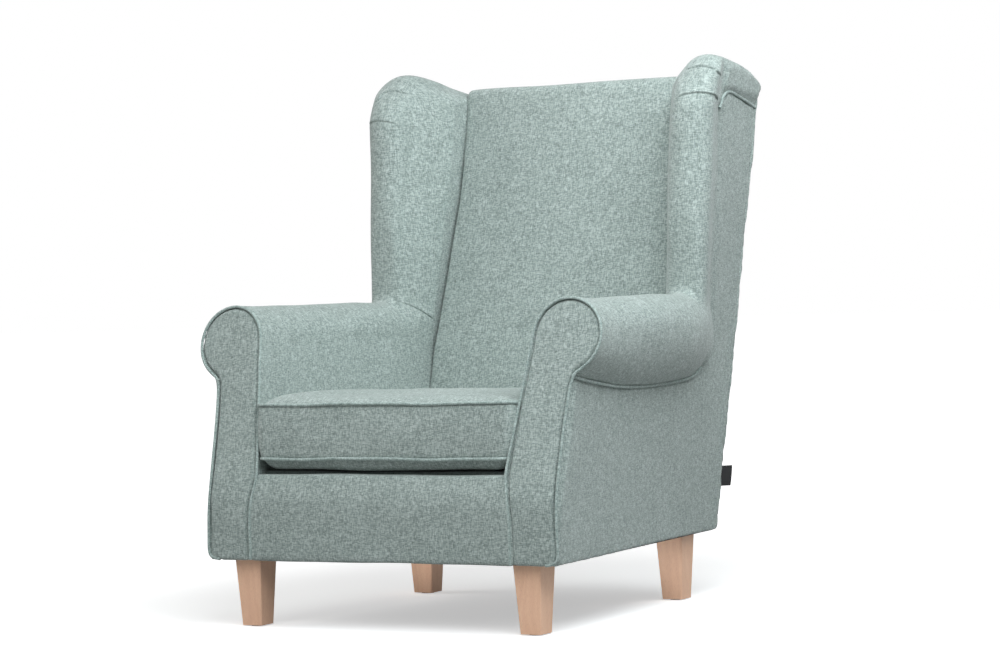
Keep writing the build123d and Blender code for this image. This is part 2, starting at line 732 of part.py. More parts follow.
def rear_label():
    """A blank woven label caught in the seam between the outside panel and the outside back."""
    corner = [Vector(side_x(back_y(z), z), back_y(z), z) for z in (LABEL_Z, LABEL_Z + LABEL_HEIGHT)]
    edge = (corner[1] - corner[0]).normalized()
    slant = Vector(1, 1, 0)
    out = (slant - edge * slant.dot(edge)).normalized()
    plane = Plane(origin=corner[0] + out * (LABEL_REACH / 2 + LABEL_THICK / 2), x_dir=out, z_dir=edge)
    return plane * Box(LABEL_REACH, LABEL_THICK, LABEL_HEIGHT)


# Loose cushion

def cushion_front_y(z):
    return CUSHION_FRONT_Y + (z - CUSHION_LOW_Z) * tan(radians(CUSHION_LEAN))


def cushion_rear_y(z):
    return inside_back_y(z) - BACK_CROWN - CUSHION_BACK_GAP


def cushion_half_width(y, z):
    return arm_inner_x(y, z) - ARM_RECESS - CUSHION_SIDE_GAP - PIPING_STAND


def cushion_plane(z):
    """Plane of the cushion's outline whose height at the front is z; the higher ones fall to the rear."""
    level = min(max(z, CUSHION_LOW_Z), CUSHION_HIGH_Z)
    pitch = radians(SEAT_PITCH) * (level - CUSHION_LOW_Z) / (CUSHION_HIGH_Z - CUSHION_LOW_Z)
    return Plane(origin=(0, cushion_front_y(level), z), x_dir=(1, 0, 0), z_dir=(0, sin(pitch), cos(pitch)))


def cushion_reach(z):
    """Length of the cushion from front to rear, along the plane of its outline at a height."""
    level = min(max(z, CUSHION_LOW_Z), CUSHION_HIGH_Z)
    back = cushion_plane(z).y_dir
    return (cushion_rear_y(level) - cushion_front_y(level)) / (back.Y - back.Z * tan(radians(INSIDE_RAKE)))


def cushion_outline(z, inset):
    """Plan of the cushion at a height, drawn in by inset."""
    plane = cushion_plane(z)
    level = min(max(z, CUSHION_LOW_Z), CUSHION_HIGH_Z)
    fall = plane.y_dir * cushion_reach(z)
    front = PIPING_STAND + inset
    rear = cushion_reach(z) - inset
    front_x = cushion_half_width(plane.origin.Y, level) - inset
    rear_x = cushion_half_width(plane.origin.Y + fall.Y, level + fall.Z) - inset
    mid_x = (front_x + rear_x) / 2 - CUSHION_PULL
    mid_y = (front + rear) / 2
    sides = [
        ThreePointArc((-front_x, front), (0, front - CUSHION_BOW), (front_x, front)),
        ThreePointArc((front_x, front), (mid_x, mid_y), (rear_x, rear)),
        Line((rear_x, rear), (-rear_x, rear)),
        ThreePointArc((-rear_x, rear), (-mid_x, mid_y), (-front_x, front)),
    ]
    face = make_face(sides)
    return plane * fillet(face.vertices(), max(CUSHION_CORNER, CUSHION_CORNER - inset))


def cushion_body(skin=0.0):
    """The cushion, or what lies skin below its surface: a boxed slab with a crown above and below."""
    low = CUSHION_LOW_Z + skin
    high = CUSHION_HIGH_Z - skin
    foot = DECK_TOP + SOFT_GAP + skin
    crown = CUSHION_CROWN - skin
    slab = loft([cushion_outline(z, skin) for z in (low, high)], ruled=True)
    top = loft([cushion_outline(high + crown * rise, skin + inset) for rise, inset in CROWN_STEPS])
    bottom = loft([cushion_outline(low - (low - foot) * rise, skin + inset) for rise, inset in BELLY_STEPS])
    return slab + top + bottom


def cushion_piping(z):
    """The welt round the cushion at a height, which lies against its border."""
    path = cushion_outline(z, -PIPING_RADIUS - SOFT_GAP).wires()[0]
    return sweep(Plane(origin=path @ 0, z_dir=path % 0) * Circle(PIPING_RADIUS), path=path)


def zip_plane():
    """The middle of the cushion's rear border, looking out of it."""
    lean = radians(INSIDE_RAKE)
    fall = cushion_plane(CUSHION_HIGH_Z).y_dir.Z * cushion_reach(CUSHION_HIGH_Z)
    z = (CUSHION_LOW_Z + CUSHION_HIGH_Z + fall) / 2
    return Plane(origin=(0, cushion_rear_y(z), z), x_dir=(1, 0, 0), z_dir=(0, cos(lean), -sin(lean)))


def cushion_zip():
    tape = Pos(0, 0, ZIP_TAPE_THICK / 2) * Box(ZIP_LENGTH, ZIP_TAPE, ZIP_TAPE_THICK)
    chain_z = ZIP_TAPE_THICK + ZIP_CHAIN_THICK / 2
    chain = Pos(0, 0, chain_z) * Box(ZIP_LENGTH - ZIP_TAPE, ZIP_CHAIN, ZIP_CHAIN_THICK)
    return zip_plane() * (tape + chain)


def zip_slider():
    """Slider at the closed end of the zip, with its pull."""
    foot = ZIP_TAPE_THICK + SLIDER_ROOM
    room = ZIP_CHAIN_THICK + SLIDER_WALL
    height = room + SLIDER_ROOM
    body = Pos(0, 0, foot + height / 2) * Box(SLIDER_LENGTH, SLIDER_WIDTH, height)
    slot_high = ZIP_TAPE_THICK + ZIP_CHAIN_THICK + SLIDER_ROOM
    slot = Pos(0, 0, slot_high / 2) * Box(2 * SLIDER_LENGTH, ZIP_CHAIN + 2 * SLIDER_ROOM, slot_high)
    pull_y = PULL_LENGTH / 2 - PULL_WIDTH / 2
    pull = Pos(0, pull_y, foot + height + PULL_THICK / 2) * Box(PULL_WIDTH, PULL_LENGTH, PULL_THICK)
    start = ZIP_LENGTH / 2 - ZIP_TAPE
    return zip_plane() * Pos(-start, 0, 0) * (body - slot + pull)


# Legs and their fixings

def leg(x, y):
    sections = []
    for z, size in ((GLIDE_THICK, LEG_FOOT), (LEG_HEIGHT, LEG_TOP)):
        square = Rectangle(size, size)
        sections.append(Pos(x, y, z) * chamfer(square.vertices(), LEG_CHAMFER))
    body = loft(sections, ruled=True)
    bolt_end = LEG_HEIGHT - BOLT_IN_LEG - BORE_SPARE
    pin_end = GLIDE_THICK + GLIDE_PIN_LENGTH + BORE_SPARE
    body = body - cylinder(BOLT_RADIUS + FIT, (x, y, bolt_end), (x, y, REACH))
    return body - cylinder(GLIDE_PIN_RADIUS + FIT, (x, y, 0), (x, y, pin_end))


def leg_bolts():
    top = FRAME_Z + BLOCK_HEIGHT + TEE_FLANGE_THICK
    return [cylinder(BOLT_RADIUS, (x, y, LEG_HEIGHT - BOLT_IN_LEG), (x, y, top)) for x, y in leg_places()]


def leg_tee_nuts():
    nuts = []
    top = FRAME_Z + BLOCK_HEIGHT
    for x, y in leg_places():
        barrel = cylinder(TEE_BARREL_RADIUS, (x, y, top - BLOCK_HEIGHT / 2), (x, y, top))
        flange = cylinder(TEE_FLANGE_RADIUS, (x, y, top), (x, y, top + TEE_FLANGE_THICK))
        nuts.append(barrel + flange - cylinder(BOLT_RADIUS + FIT, (x, y, 0), (x, y, REACH)))
    return nuts


def leg_glides():
    glides = []
    for x, y in leg_places():
        pad = cylinder(GLIDE_RADIUS, (x, y, 0), (x, y, GLIDE_THICK))
        pin = cylinder(GLIDE_PIN_RADIUS, (x, y, GLIDE_THICK), (x, y, GLIDE_THICK + GLIDE_PIN_LENGTH))
        glides.append(pad + pin)
    return glides


def all_nodes():
    """Every piece by its name."""
    nodes = {
        "front_seat_rail": front_seat_rail(),
        "back_seat_rail": back_seat_rail(),
        "back_top_rail": back_top_rail(),
        "back_lower_rail": back_lower_rail(),
        "corner_blocks": corner_blocks(),
        "frame_dowels": frame_dowels(),
        "seat_springs": seat_springs(),
        "spring_clips": spring_clips(),
        "back_webbing": back_webbing(),
        "seat_deck": seat_deck(),
        "front_border": front_border(),
        "back_pad": back_pad(),
        "outside_back": outside_back(),
        "dust_cover": dust_cover(),
        "rear_label": rear_label(),
        "leg_bolts": leg_bolts(),
        "leg_tee_nuts": leg_tee_nuts(),
        "leg_glides": leg_glides(),
    }
    arm = arm_body()
    panel = outside_panel()
    board = wing_board()
    post = back_post()
    arm_pad = cut_all(arm, [panel, board, post, back_body(), arm_piping(PIPING_RADIUS + SOFT_GAP)])
    rail = arm_rail(arm)
    wing_pad = cut_all(wing_body(), [arm, panel, board, post, outside_back(), back_top_rail()] + back_webbing())
    drawn_left = {
        "side_rail": side_rail(),
        "back_post": post,
        "arm_post": arm_post(),
        "arm_rail": rail,
        "wing_board": board,
        "outside_panel": panel,
        "arm_pad": arm_pad,
        "arm_facing": arm_facing(),
        "facing_piping": facing_piping(),
        "arm_piping": arm_piping(PIPING_RADIUS),
        "wing_pad": wing_pad,
        "wing_piping": wing_piping(),
    }
    for name, shape in drawn_left.items():
        for side in SIDES:
            nodes[f"{side}_{name}"] = for_side(shape, side)
    ends = ("front", "rear")
    for i, (x, y) in enumerate(leg_places()):
        nodes[f"{ends[i // 2]}_{list(SIDES)[i % 2]}_leg"] = leg(x, y)
    cushion = cushion_body()
    core = cushion_body(COVER_THICK)
    nodes["cushion_cover"] = cushion - core
    nodes["cushion_core"] = core
    nodes["cushion_top_piping"] = cushion_piping(CUSHION_HIGH_Z)
    nodes["cushion_bottom_piping"] = cushion_piping(CUSHION_LOW_Z)
    nodes["cushion_zip"] = cushion_zip()
    nodes["zip_slider"] = zip_slider()
    return nodes


def main():
    solids = {}
    for name, shape in all_nodes().items():
        pieces = shape if isinstance(shape, list) else [shape]
        solids[name] = [solid for piece in pieces for solid in piece.solids()]
    box = Compound([solid for group in solids.values() for solid in group]).bounding_box()
    middle = (box.min.Y + box.max.Y) / 2
    os.makedirs("parts", exist_ok=True)
    for name, group in solids.items():
        moved = [solid.moved(Location((0, -middle, 0))) for solid in group]
        export_step(Compound(moved), os.path.join("parts", f"{name}.step"))
    print("size", [round(value, 1) for value in box.size], "front of base at y", round(-middle, 2))


main()
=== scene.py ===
"""Looks of an upholstered wing armchair, dressed around its CAD frame."""

import json
from math import cos, pi, radians, sin, tan

import bpy
import numpy as np
from mathutils import Matrix, Vector


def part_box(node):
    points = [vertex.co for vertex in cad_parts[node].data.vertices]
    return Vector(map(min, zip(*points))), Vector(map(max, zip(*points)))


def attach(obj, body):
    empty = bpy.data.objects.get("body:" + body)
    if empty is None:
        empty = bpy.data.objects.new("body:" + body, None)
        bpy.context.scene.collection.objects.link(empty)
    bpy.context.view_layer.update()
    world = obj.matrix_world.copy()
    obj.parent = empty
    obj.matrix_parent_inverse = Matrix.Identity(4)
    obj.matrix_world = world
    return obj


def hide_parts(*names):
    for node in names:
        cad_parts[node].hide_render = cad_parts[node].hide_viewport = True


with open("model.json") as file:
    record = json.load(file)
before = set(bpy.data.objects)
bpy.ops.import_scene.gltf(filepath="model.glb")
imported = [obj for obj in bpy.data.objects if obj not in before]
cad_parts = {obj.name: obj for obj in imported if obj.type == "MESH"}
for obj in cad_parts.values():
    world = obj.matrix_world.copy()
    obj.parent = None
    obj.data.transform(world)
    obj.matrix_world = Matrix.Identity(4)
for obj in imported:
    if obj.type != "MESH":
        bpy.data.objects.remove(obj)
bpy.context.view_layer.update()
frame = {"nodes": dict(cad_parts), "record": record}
nodes = frame["nodes"]

# Metres, +Z up, the chair faces -Y. Left and right are the sitter's, so left is +X.
SIDES = {"left": 1, "right": -1}
FRONT_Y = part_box("front_border")[0].y    # front of the base
FOOT_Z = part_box("front_border")[0].z     # underside of the covers
MERGE = 0.00001

# Outside of the arms, as planes that narrow to the back and open upwards
SIDE_X = 0.370
SIDE_TAPER = tan(radians(4.0))
SIDE_FLARE = tan(radians(3.3))
BACK_DEPTH = 0.735        # front of the base to the foot of the outside back
BACK_RAKE = tan(radians(11.0))
INNER_BACK_DEPTH = 0.642  # front of the base to the edge of the inside back
INNER_BACK_Z = 0.421      # at this height
BACK_SEAM = [(0.42, 0.268), (0.487, 0.268), (0.533, 0.2633), (0.597, 0.2587), (0.66, 0.254), (0.725, 0.250),
             (0.79, 0.246), (0.855, 0.245), (0.93, 0.243), (0.985, 0.245)]    # (height, x) beside the wings
BACK_GROOVE = 0.0045      # the two covers stand this far apart there

# Front of the arms: straight, then a bend into a lean
BEND_Z = 0.215
BEND_RADIUS = 0.150
FRONT_LEAN = radians(15.0)

# Arm facing: scroll, neck and waist
SCROLL_X = 0.361
SCROLL_Z = 0.526
SCROLL_RADIUS = 0.070
SCROLL_END = 62
INNER_FOOT_X = 0.276
WAIST_X = 0.265
WAIST_Z = 0.281
OUTER_FOOT_X = 0.374
FOOT_ROUND = 0.011
OUTER_WAIST_X = 0.371
NECK_X = 0.381
NECK_Z = 0.450
FACING_DEPTH = 0.014
FACING_TURN = 0.034       # a facing falls back this much per metre towards its outside
OUTER_DRAW = 0.0027       # its outer edge is drawn in this far

# Piping
PIPING = 0.003
PIPING_SET = 0.0004       # piping's middle, behind the front of a facing
FACING_PIPING = 0.0027
FACE_SEAM = (0.0038, 0.0065)    # seam of a facing, in from the piping's middle and behind it
ARM_SEAM = (0.0014, 0.0020)     # seam of the covers behind the piping
SEAM_GAP = 0.0004
SEAM_REACH = 0.009        # cloth this near a seam behind the piping runs in to it
SEAM_FINE = 0.014         # and is cut finer this near

# Seam below the arm roll, as (depth from the front of the base, height) from front to rear
ROLL_SEAM = [(0.0665, 0.4565), (0.080, 0.453), (0.115, 0.447), (0.167, 0.440), (0.257, 0.4295), (0.350, 0.426),
             (0.443, 0.426), (0.530, 0.428), (0.590, 0.432), (0.628, 0.444), (0.655, 0.466),
             (0.676, 0.489), (0.692, 0.508)]
CAD_SEAM = [(0.0, 0.434), (0.628, 0.434), (0.690, 0.526)]
ARM_LAP = (-0.0040, 0.0012)     # ends of the covers and the welt there: out from the side and up from the seam
PANEL_LAP = (-0.0025, -0.0055)
ROLL_WELT = (0.0015, -0.0025)

# Wing
WING_ROLL = Vector((0.333, FRONT_Y + 0.614, 0.600))   # middle of the front roll, level with the arm
WING_LEAN = Vector((tan(radians(1.5)), tan(radians(5.9)), 1.0))

# Folds of the covers, as (distance from the middle, depth from the front of the base, height)
PLEATS = {
    "left": [
        [(0.316, 0.672, 1.0180), (0.326, 0.666, 1.0220), (0.3354, 0.6635, 1.0241), (0.3448, 0.6632, 1.0256),
         (0.3548, 0.6635, 1.0260), (0.3658, 0.6640, 1.0244), (0.3756, 0.6641, 1.0207), (0.3844, 0.6646, 1.0160),
         (0.3867, 0.6739, 1.0095), (0.384, 0.690, 1.0040)],
        [(0.316, 0.619, 0.9620), (0.3282, 0.6164, 0.9678), (0.3408, 0.6159, 0.9716), (0.3547, 0.6181, 0.9730),
         (0.3680, 0.6256, 0.9734), (0.3776, 0.6320, 0.9724), (0.3839, 0.6436, 0.9701), (0.3808, 0.6684, 0.9655),
         (0.3729, 0.6972, 0.9588)]],
    "right": [
        [(0.372, 0.628, 0.9900), (0.3637, 0.6354, 0.9993), (0.3613, 0.6457, 1.0097), (0.3539, 0.6515, 1.0155),
         (0.3416, 0.6545, 1.0178), (0.3282, 0.6562, 1.0156), (0.3135, 0.6608, 1.0111), (0.303, 0.668, 1.0050)],
        [(0.381, 0.628, 0.9500), (0.3685, 0.6156, 0.9541), (0.3548, 0.6103, 0.9560), (0.3405, 0.6110, 0.9553),
         (0.3214, 0.6119, 0.9515), (0.312, 0.616, 0.9480)]]}
CORNER_FOLD = [(0.3723, 0.7571, 1.0359), (0.3784, 0.7418, 1.0161), (0.3772, 0.7277, 0.9963),
               (0.3712, 0.7196, 0.9764), (0.3723, 0.6995, 0.9570), (0.3711, 0.6969, 0.9443)]
ARM_CREASE = [(0.301, 0.590, 0.590), (0.2905, 0.606, 0.5842), (0.279, 0.624, 0.5755), (0.269, 0.644, 0.5626),
              (0.264, 0.668, 0.5496)]

UPWARDS = (0, 0, 1)
FORWARDS = (0, -1, 0)
CREASE_FOLD = (0.0008, 0.0035)  # height of a fold's lip and depth of the dip below it
PLEAT_FOLD = (0.0026, 0.0036)
CORNER_LAP = (0.0028, 0.0040)
FOLD_WIDTH = 0.006

# Front edge of the outside panel beside a wing, as heights and depths
PANEL_EDGE = ((0.53, 0.95, 0.98), (0.690, 0.712, 0.755))

# Seam between a wing's cap and the outside, as (depth from the front of the base, height)
WING_SEAM = [(0.700, 0.945), (0.708, 0.954), (0.720, 0.965), (0.735, 0.974), (0.750, 0.979), (0.768, 0.978),
             (0.790, 0.974), (0.814, 0.9695), (0.859, 0.961), (0.895, 0.952)]

# How far the covers are moved from their CAD shapes
FRONT_REACH = 0.0125      # arms and outside panels forward to the piping
SLOT_DEPTH = 0.009        # front ends of the arm covers back, beside the piping
WAIST_SLOPE = 0.55        # an outside panel runs out from its facing by this much per metre
REAR_REACH = (0.0015, 0.006)    # covers out and back at the rear edges
SHOULDER_ROUND = 0.024    # front of a wing back, at its top
CORNER_FALL = 0.004       # rear corner of a wing down
ARM_SAG = 0.004           # top of an arm down, behind its scroll
CAP_BULGE = 0.007         # cap of a wing out, over its piping
UNDER_WING = (0.002, 0.014)     # front edge of an outside panel in and forward
BORDER_FALL = 0.004       # top of the front border down
BORDER_ROLL = 0.017       # radius of its top edge
PLATFORM_REACH = 0.022    # seat platform back to the stuffed back
COVER_RIPPLES = (0.0009, 0.18)  # height and length

# Loose cushion
CUSHION_CORNER = 0.010
ARM_TAPER = tan(radians(1.55))
ARM_SLOPE = 26 / 245
CUSHION_BOW = 0.004
CUSHION_PULL = 0.005
COVER_GAUGE = 0.0025      # cushion cover and its wrap, over the core
BORDER_ROWS = 12          # its border is brought into place in rows
BORDER_SWELL = 0.0045     # border of the cushion out, between its pipings
BORDER_SET = 0.0015       # and in, beside them
CROWN_FILL = 0.004        # crown up, at its right end
BELLY_HANG = 0.004        # underside down, over the front border
SEAM_HELD = 0.0125        # cloth this near a piping is held while the cushion swells

# Camera
CAMERA_PLACE = Vector((3.02076, FRONT_Y - 4.76024, 0.64068))
LENS = 112.8
PAN, TILT, CANT = 0.523787, -0.019162, -0.032622


# Small tools

def added(name, data):
    """A new object in the scene."""
    made = bpy.data.objects.new(name, data)
    bpy.context.scene.collection.objects.link(made)
    return made


def select_only(piece):
    bpy.ops.object.select_all(action="DESELECT")
    piece.select_set(True)
    bpy.context.view_layer.objects.active = piece


def apply_modifier(piece, kind, **settings):
    select_only(piece)
    modifier = piece.modifiers.new(kind.lower(), kind)
    for name, value in settings.items():
        setattr(modifier, name, value)
    bpy.ops.object.modifier_apply(modifier=modifier.name)


def edit_all(piece, action, **settings):
    """Runs a mesh operator on the whole of a piece."""
    select_only(piece)
    bpy.ops.object.mode_set(mode="EDIT")
    bpy.ops.mesh.select_all(action="SELECT")
    action(**settings)
    bpy.ops.object.mode_set(mode="OBJECT")


def ease(value, start, end):
    """0 at start, 1 at end, with a soft run between them."""
    share = np.clip((value - start) / (end - start), 0.0, 1.0)
    return share * share * (3.0 - 2.0 * share)


def band(value, start, full, fade, end):
    """1 from full to fade, 0 before start and past end, with soft runs between them."""
    return ease(value, start, full) * ease(value, end, fade)


def shift(at, outward=0.0, y=0.0, z=0.0):
    """A move for each point: away from the chair's middle, and along Y and Z."""
    move = np.zeros_like(at)
    move[:, 0], move[:, 1], move[:, 2] = np.sign(at[:, 0]) * outward, y, z
    return move


def points_of(piece):
    at = np.empty(len(piece.data.vertices) * 3)
    piece.data.vertices.foreach_get("co", at)
    return at.reshape(-1, 3)


def normals_of(piece):
    out = np.empty(len(piece.data.vertices) * 3)
    piece.data.vertex_normals.foreach_get("vector", out)
    return out.reshape(-1, 3)


def set_points(piece, at):
    piece.data.vertices.foreach_set("co", np.asarray(at, float).ravel())
    piece.data.update()


def reshape(piece, *rules):
    """Moves each point of a piece by what each rule gives for the points and their normals."""
    for rule in rules:
        at = points_of(piece)
        set_points(piece, at + rule(at, normals_of(piece)))


def copy_of(name, *sources):
    """A new piece from the meshes of nodes, merged."""
    bpy.ops.object.select_all(action="DESELECT")
    for source in sources:
        piece = added(name, nodes[source].data.copy())
        piece.data.materials.clear()
        piece.select_set(True)
        bpy.context.view_layer.objects.active = piece
    if len(sources) > 1:
        bpy.ops.object.join()
    piece = bpy.context.view_layer.objects.active
    piece.name = name
    edit_all(piece, bpy.ops.mesh.remove_doubles, threshold=MERGE)
    return piece


def fit(piece, *sources):
    """Brings a rounded copy back to the box of its nodes."""
    low = np.min([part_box(source)[0] for source in sources], axis=0)
    high = np.max([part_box(source)[1] for source in sources], axis=0)
    at = points_of(piece)
    share = (at - at.min(axis=0)) / (at.max(axis=0) - at.min(axis=0))
    set_points(piece, low + share * (high - low))


def stuffed(name, sources, voxel, passes):
    """A soft copy of nodes: an even mesh with its edges rounded off."""
    piece = copy_of(name, *sources)
    apply_modifier(piece, "REMESH", mode="VOXEL", voxel_size=voxel)
    apply_modifier(piece, "SMOOTH", factor=0.5, iterations=passes)
    fit(piece, *sources)
    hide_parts(*sources)
    return piece


def soften(piece, share, passes):
    """Smooths a piece where the rule gives a share above 0."""
    group = piece.vertex_groups.new(name="soft")
    for index, weight in enumerate(share(points_of(piece))):
        if weight > 0.01:
            group.add([index], float(weight), "REPLACE")
    apply_modifier(piece, "SMOOTH", factor=0.5, iterations=passes, vertex_group=group.name)
    piece.vertex_groups.clear()


def finish_piece(piece, body, material):
    """Wraps, smooths and paints a piece, and lets it ride on its body."""
    edit_all(piece, bpy.ops.uv.cube_project, cube_size=1.0)
    bpy.ops.object.shade_smooth()
    piece.data.materials.clear()
    piece.data.materials.append(material)
    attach(piece, body)


def ripples(seed, height, length):
    """A rule: low uneven waves of stretched cloth."""
    draw = np.random.default_rng(seed)
    ways = draw.normal(size=(9, 3))
    ways /= np.linalg.norm(ways, axis=1)[:, None]
    starts = draw.uniform(0, 2 * pi, 9)
    lengths = length * draw.uniform(0.6, 1.7, 9)

    def rule(at, out):
        waves = np.sin(at @ ways.T * (2 * pi / lengths) + starts).sum(axis=1) / 3.0
        return out * (height * waves)[:, None]
    return rule


def near_route(at, route):
    """Each point's way from the nearest place of a route, and that place's share of the route's length."""
    away = np.full(at.shape, 1e9)
    along = np.zeros(len(at))
    run = 0.0
    for a, b in zip(route[:-1], route[1:]):
        a = np.asarray(a, float)
        step = np.asarray(b, float) - a
        length = np.linalg.norm(step)
        share = np.clip((at - a) @ step / length ** 2, 0.0, 1.0)
        way = at - (a + share[:, None] * step)
        closer = (way ** 2).sum(axis=1) < (away ** 2).sum(axis=1)
        away[closer] = way[closer]
        along[closer] = run + share[closer] * length
        run += length
    return away, along / run


def refine(piece, route, reach, cuts):
    """Cuts the faces near a route finer."""
    mesh = piece.data
    select_only(piece)
    bpy.ops.object.mode_set(mode="EDIT")
    bpy.ops.mesh.select_mode(type="FACE")
    bpy.ops.mesh.select_all(action="DESELECT")
    bpy.ops.object.mode_set(mode="OBJECT")
    middles = np.empty(len(mesh.polygons) * 3)
    mesh.polygons.foreach_get("center", middles)
    away, _ = near_route(middles.reshape(-1, 3), route)
    mesh.polygons.foreach_set("select", np.linalg.norm(away, axis=1) < reach)
    bpy.ops.object.mode_set(mode="EDIT")
    bpy.ops.mesh.subdivide(number_cuts=cuts)
    bpy.ops.object.mode_set(mode="OBJECT")


def tuck(piece, route, upper, lip, dip):
    """A fold sewn along a route: the cloth on its upper side overlaps the cloth below."""
    refine(piece, route, 3.0 * FOLD_WIDTH, 2)

    def rule(at, out):
        away, along = near_route(at, route)
        gap = np.linalg.norm(away, axis=1)
        above = away @ np.asarray(upper, float) > 0
        rise = np.where(above, lip * np.exp(-gap / FOLD_WIDTH), -dip * np.exp(-gap / (0.45 * FOLD_WIDTH)))
        return out * (rise * band(along, 0.0, 0.2, 0.8, 1.0))[:, None]
    reshape(piece, rule)


def tube(name, route, radius, closed=False):
    """A round welt along a route of points."""
    curve = bpy.data.curves.new(name, "CURVE")
    curve.dimensions = "3D"
    curve.bevel_depth = radius
    curve.bevel_resolution = 3
    curve.resolution_u = 4
    curve.use_fill_caps = not closed
    spline = curve.splines.new("NURBS")
    spline.points.add(len(route) - 1)
    for point, place in zip(spline.points, route):
        point.co = (*place, 1.0)
    spline.use_cyclic_u = closed
    spline.order_u = 3
    spline.use_endpoint_u = not closed
    select_only(added(name, curve))
    bpy.ops.object.convert(target="MESH")
    return bpy.context.view_layer.objects.active


# Lines of the chair

def front_depth(z):
    """How far the front of the arms lies behind the front of the base at a height."""
    z = np.asarray(z, float)
    rise = np.clip(z - BEND_Z, 0.0, BEND_RADIUS * sin(FRONT_LEAN))
    bend = BEND_RADIUS - np.sqrt(BEND_RADIUS ** 2 - rise ** 2)
    above = np.clip(z - BEND_Z - BEND_RADIUS * sin(FRONT_LEAN), 0.0, None)
    return bend + above * tan(FRONT_LEAN)


def outside_x(y, z):
    """X of the left outside face."""
    return SIDE_X - SIDE_TAPER * (y - FRONT_Y) + SIDE_FLARE * (z - FOOT_Z)


def facing_out(at, out):
    """How far normals point away from the chair's middle."""
    return np.sign(at[:, 0]) * out[:, 0]


def past_side(at):
    """How far points lie outside the outside faces."""
    return np.abs(at[:, 0]) - outside_x(at[:, 1], at[:, 2])


def before_rear(at):
    """How far points lie in front of the outside back."""
    return FRONT_Y + BACK_DEPTH + BACK_RAKE * (at[:, 2] - FOOT_Z) - at[:, 1]


def behind_facing(at):
    """How far points lie behind the front of the facings."""
    return at[:, 1] - FRONT_Y - front_depth(at[:, 2]) - fall_back(at[:, 0])


def behind_back(at):
    """How far points lie behind the edges of the inside back."""
    return at[:, 1] - FRONT_Y - INNER_BACK_DEPTH - BACK_RAKE * (at[:, 2] - INNER_BACK_Z)


def behind_panel_edge(at):
    """How far points lie behind the front edge of the outside panel beside a wing."""
    return at[:, 1] - FRONT_Y - np.interp(at[:, 2], *PANEL_EDGE)


def back_seam_x(z):
    """Distance from the chair's middle to the seams beside the stuffed back, at heights."""
    return np.interp(z, *np.array(BACK_SEAM).T)


def wing_middle(z):
    """Plan place of the middle of the left wing's front roll at heights."""
    rise = np.asarray(z) - WING_ROLL.z
    return WING_ROLL.x + rise * WING_LEAN.x, WING_ROLL.y + rise * WING_LEAN.y


def facing_outline():
    """(x, z) points round the left facing, from its inner foot over the scroll to its outer foot."""
    inner = [(INNER_FOOT_X, FOOT_Z + 0.002), (INNER_FOOT_X, 0.165), (INNER_FOOT_X, 0.200), (0.2735, 0.232),
             (0.2665, 0.268), (WAIST_X, WAIST_Z), (0.2662, 0.300), (0.272, 0.350), (0.282, 0.440), (0.289, 0.500)]
    turns = np.radians(np.arange(180, -SCROLL_END - 1, -22))
    scroll = [(SCROLL_X + SCROLL_RADIUS * cos(t), SCROLL_Z + SCROLL_RADIUS * sin(t)) for t in turns]
    outer = [(0.3865, 0.461), (NECK_X, NECK_Z), (0.3775, 0.430), (0.3735, 0.370), (OUTER_WAIST_X, WAIST_Z),
             (0.3712, 0.220), (OUTER_FOOT_X - 0.001, 0.165), (OUTER_FOOT_X - 0.0004, 0.146), (0.3718, 0.1355),
             (0.3660, 0.1290), (0.3580, FOOT_Z + 0.0018), (0.346, FOOT_Z + 0.0015)]
    return np.array(inner + scroll + outer)


def fall_back(x):
    """How far a facing lies further back at a distance from the chair's middle."""
    return FACING_TURN * np.clip(np.abs(x) - INNER_FOOT_X, 0.0, None)


def facing_route(side, inset=0.0, behind=0.0):
    """Places round a facing, along the middle of its piping, or inside and behind it."""
    line = facing_outline()
    along = np.gradient(line, axis=0)
    along /= np.linalg.norm(along, axis=1)[:, None]
    inward = np.column_stack([along[:, 1], -along[:, 0]])
    draw = inset + OUTER_DRAW * ease(line[:, 0], SCROLL_X - 0.03, SCROLL_X + 0.02)
    line = line + inward * draw[:, None]
    y = FRONT_Y + front_depth(line[:, 1]) + fall_back(line[:, 0]) + PIPING_SET + behind
    return list(zip(SIDES[side] * line[:, 0], y, line[:, 1]))


def side_route(side, seam, out, up=0.0):
    """Places along a seam of the outside, up from it and out from the outside face by a rule of the depth."""
    return [(SIDES[side] * (outside_x(FRONT_Y + depth, z) + float(out(depth))), FRONT_Y + depth, z + up)
            for depth, z in seam]


def roll_route(side, out, up):
    """Places along the seam below an arm roll, which sinks in at the scroll."""
    return side_route(side, ROLL_SEAM, lambda depth: out - 0.005 * ease(depth, 0.090, ROLL_SEAM[0][0]), up)


def wing_route(side):
    """Places along the seam below a wing's cap, which stands out at its front."""
    return side_route(side, WING_SEAM, lambda depth: 0.001 + 0.003 * ease(depth, 0.725, 0.705))


def placed(route, side):
    """A route measured from the front of the base, on a side of the chair."""
    return [(SIDES[side] * x, FRONT_Y + depth, z) for x, depth, z in route]


def seam_rise(at):
    """How far the seam below the arm roll lies above the CAD's seam at each point, and the height of the CAD's."""
    high, low = [np.interp(at[:, 1] - FRONT_Y, *np.array(seam).T) for seam in (ROLL_SEAM, CAD_SEAM)]
    return high - low, low


# Rules that shape the covers

def drawn_to_piping(at, out):
    """Front ends of arms and outside panels reach forward to the piping round the facing."""
    depth = (at[:, 1] - FRONT_Y - front_depth(at[:, 2])) * cos(FRONT_LEAN)
    back = fall_back(at[:, 0]) * ease(depth, 0.10, 0.03)
    return shift(at, y=back - FRONT_REACH * ease(depth, 0.045, FACING_DEPTH))


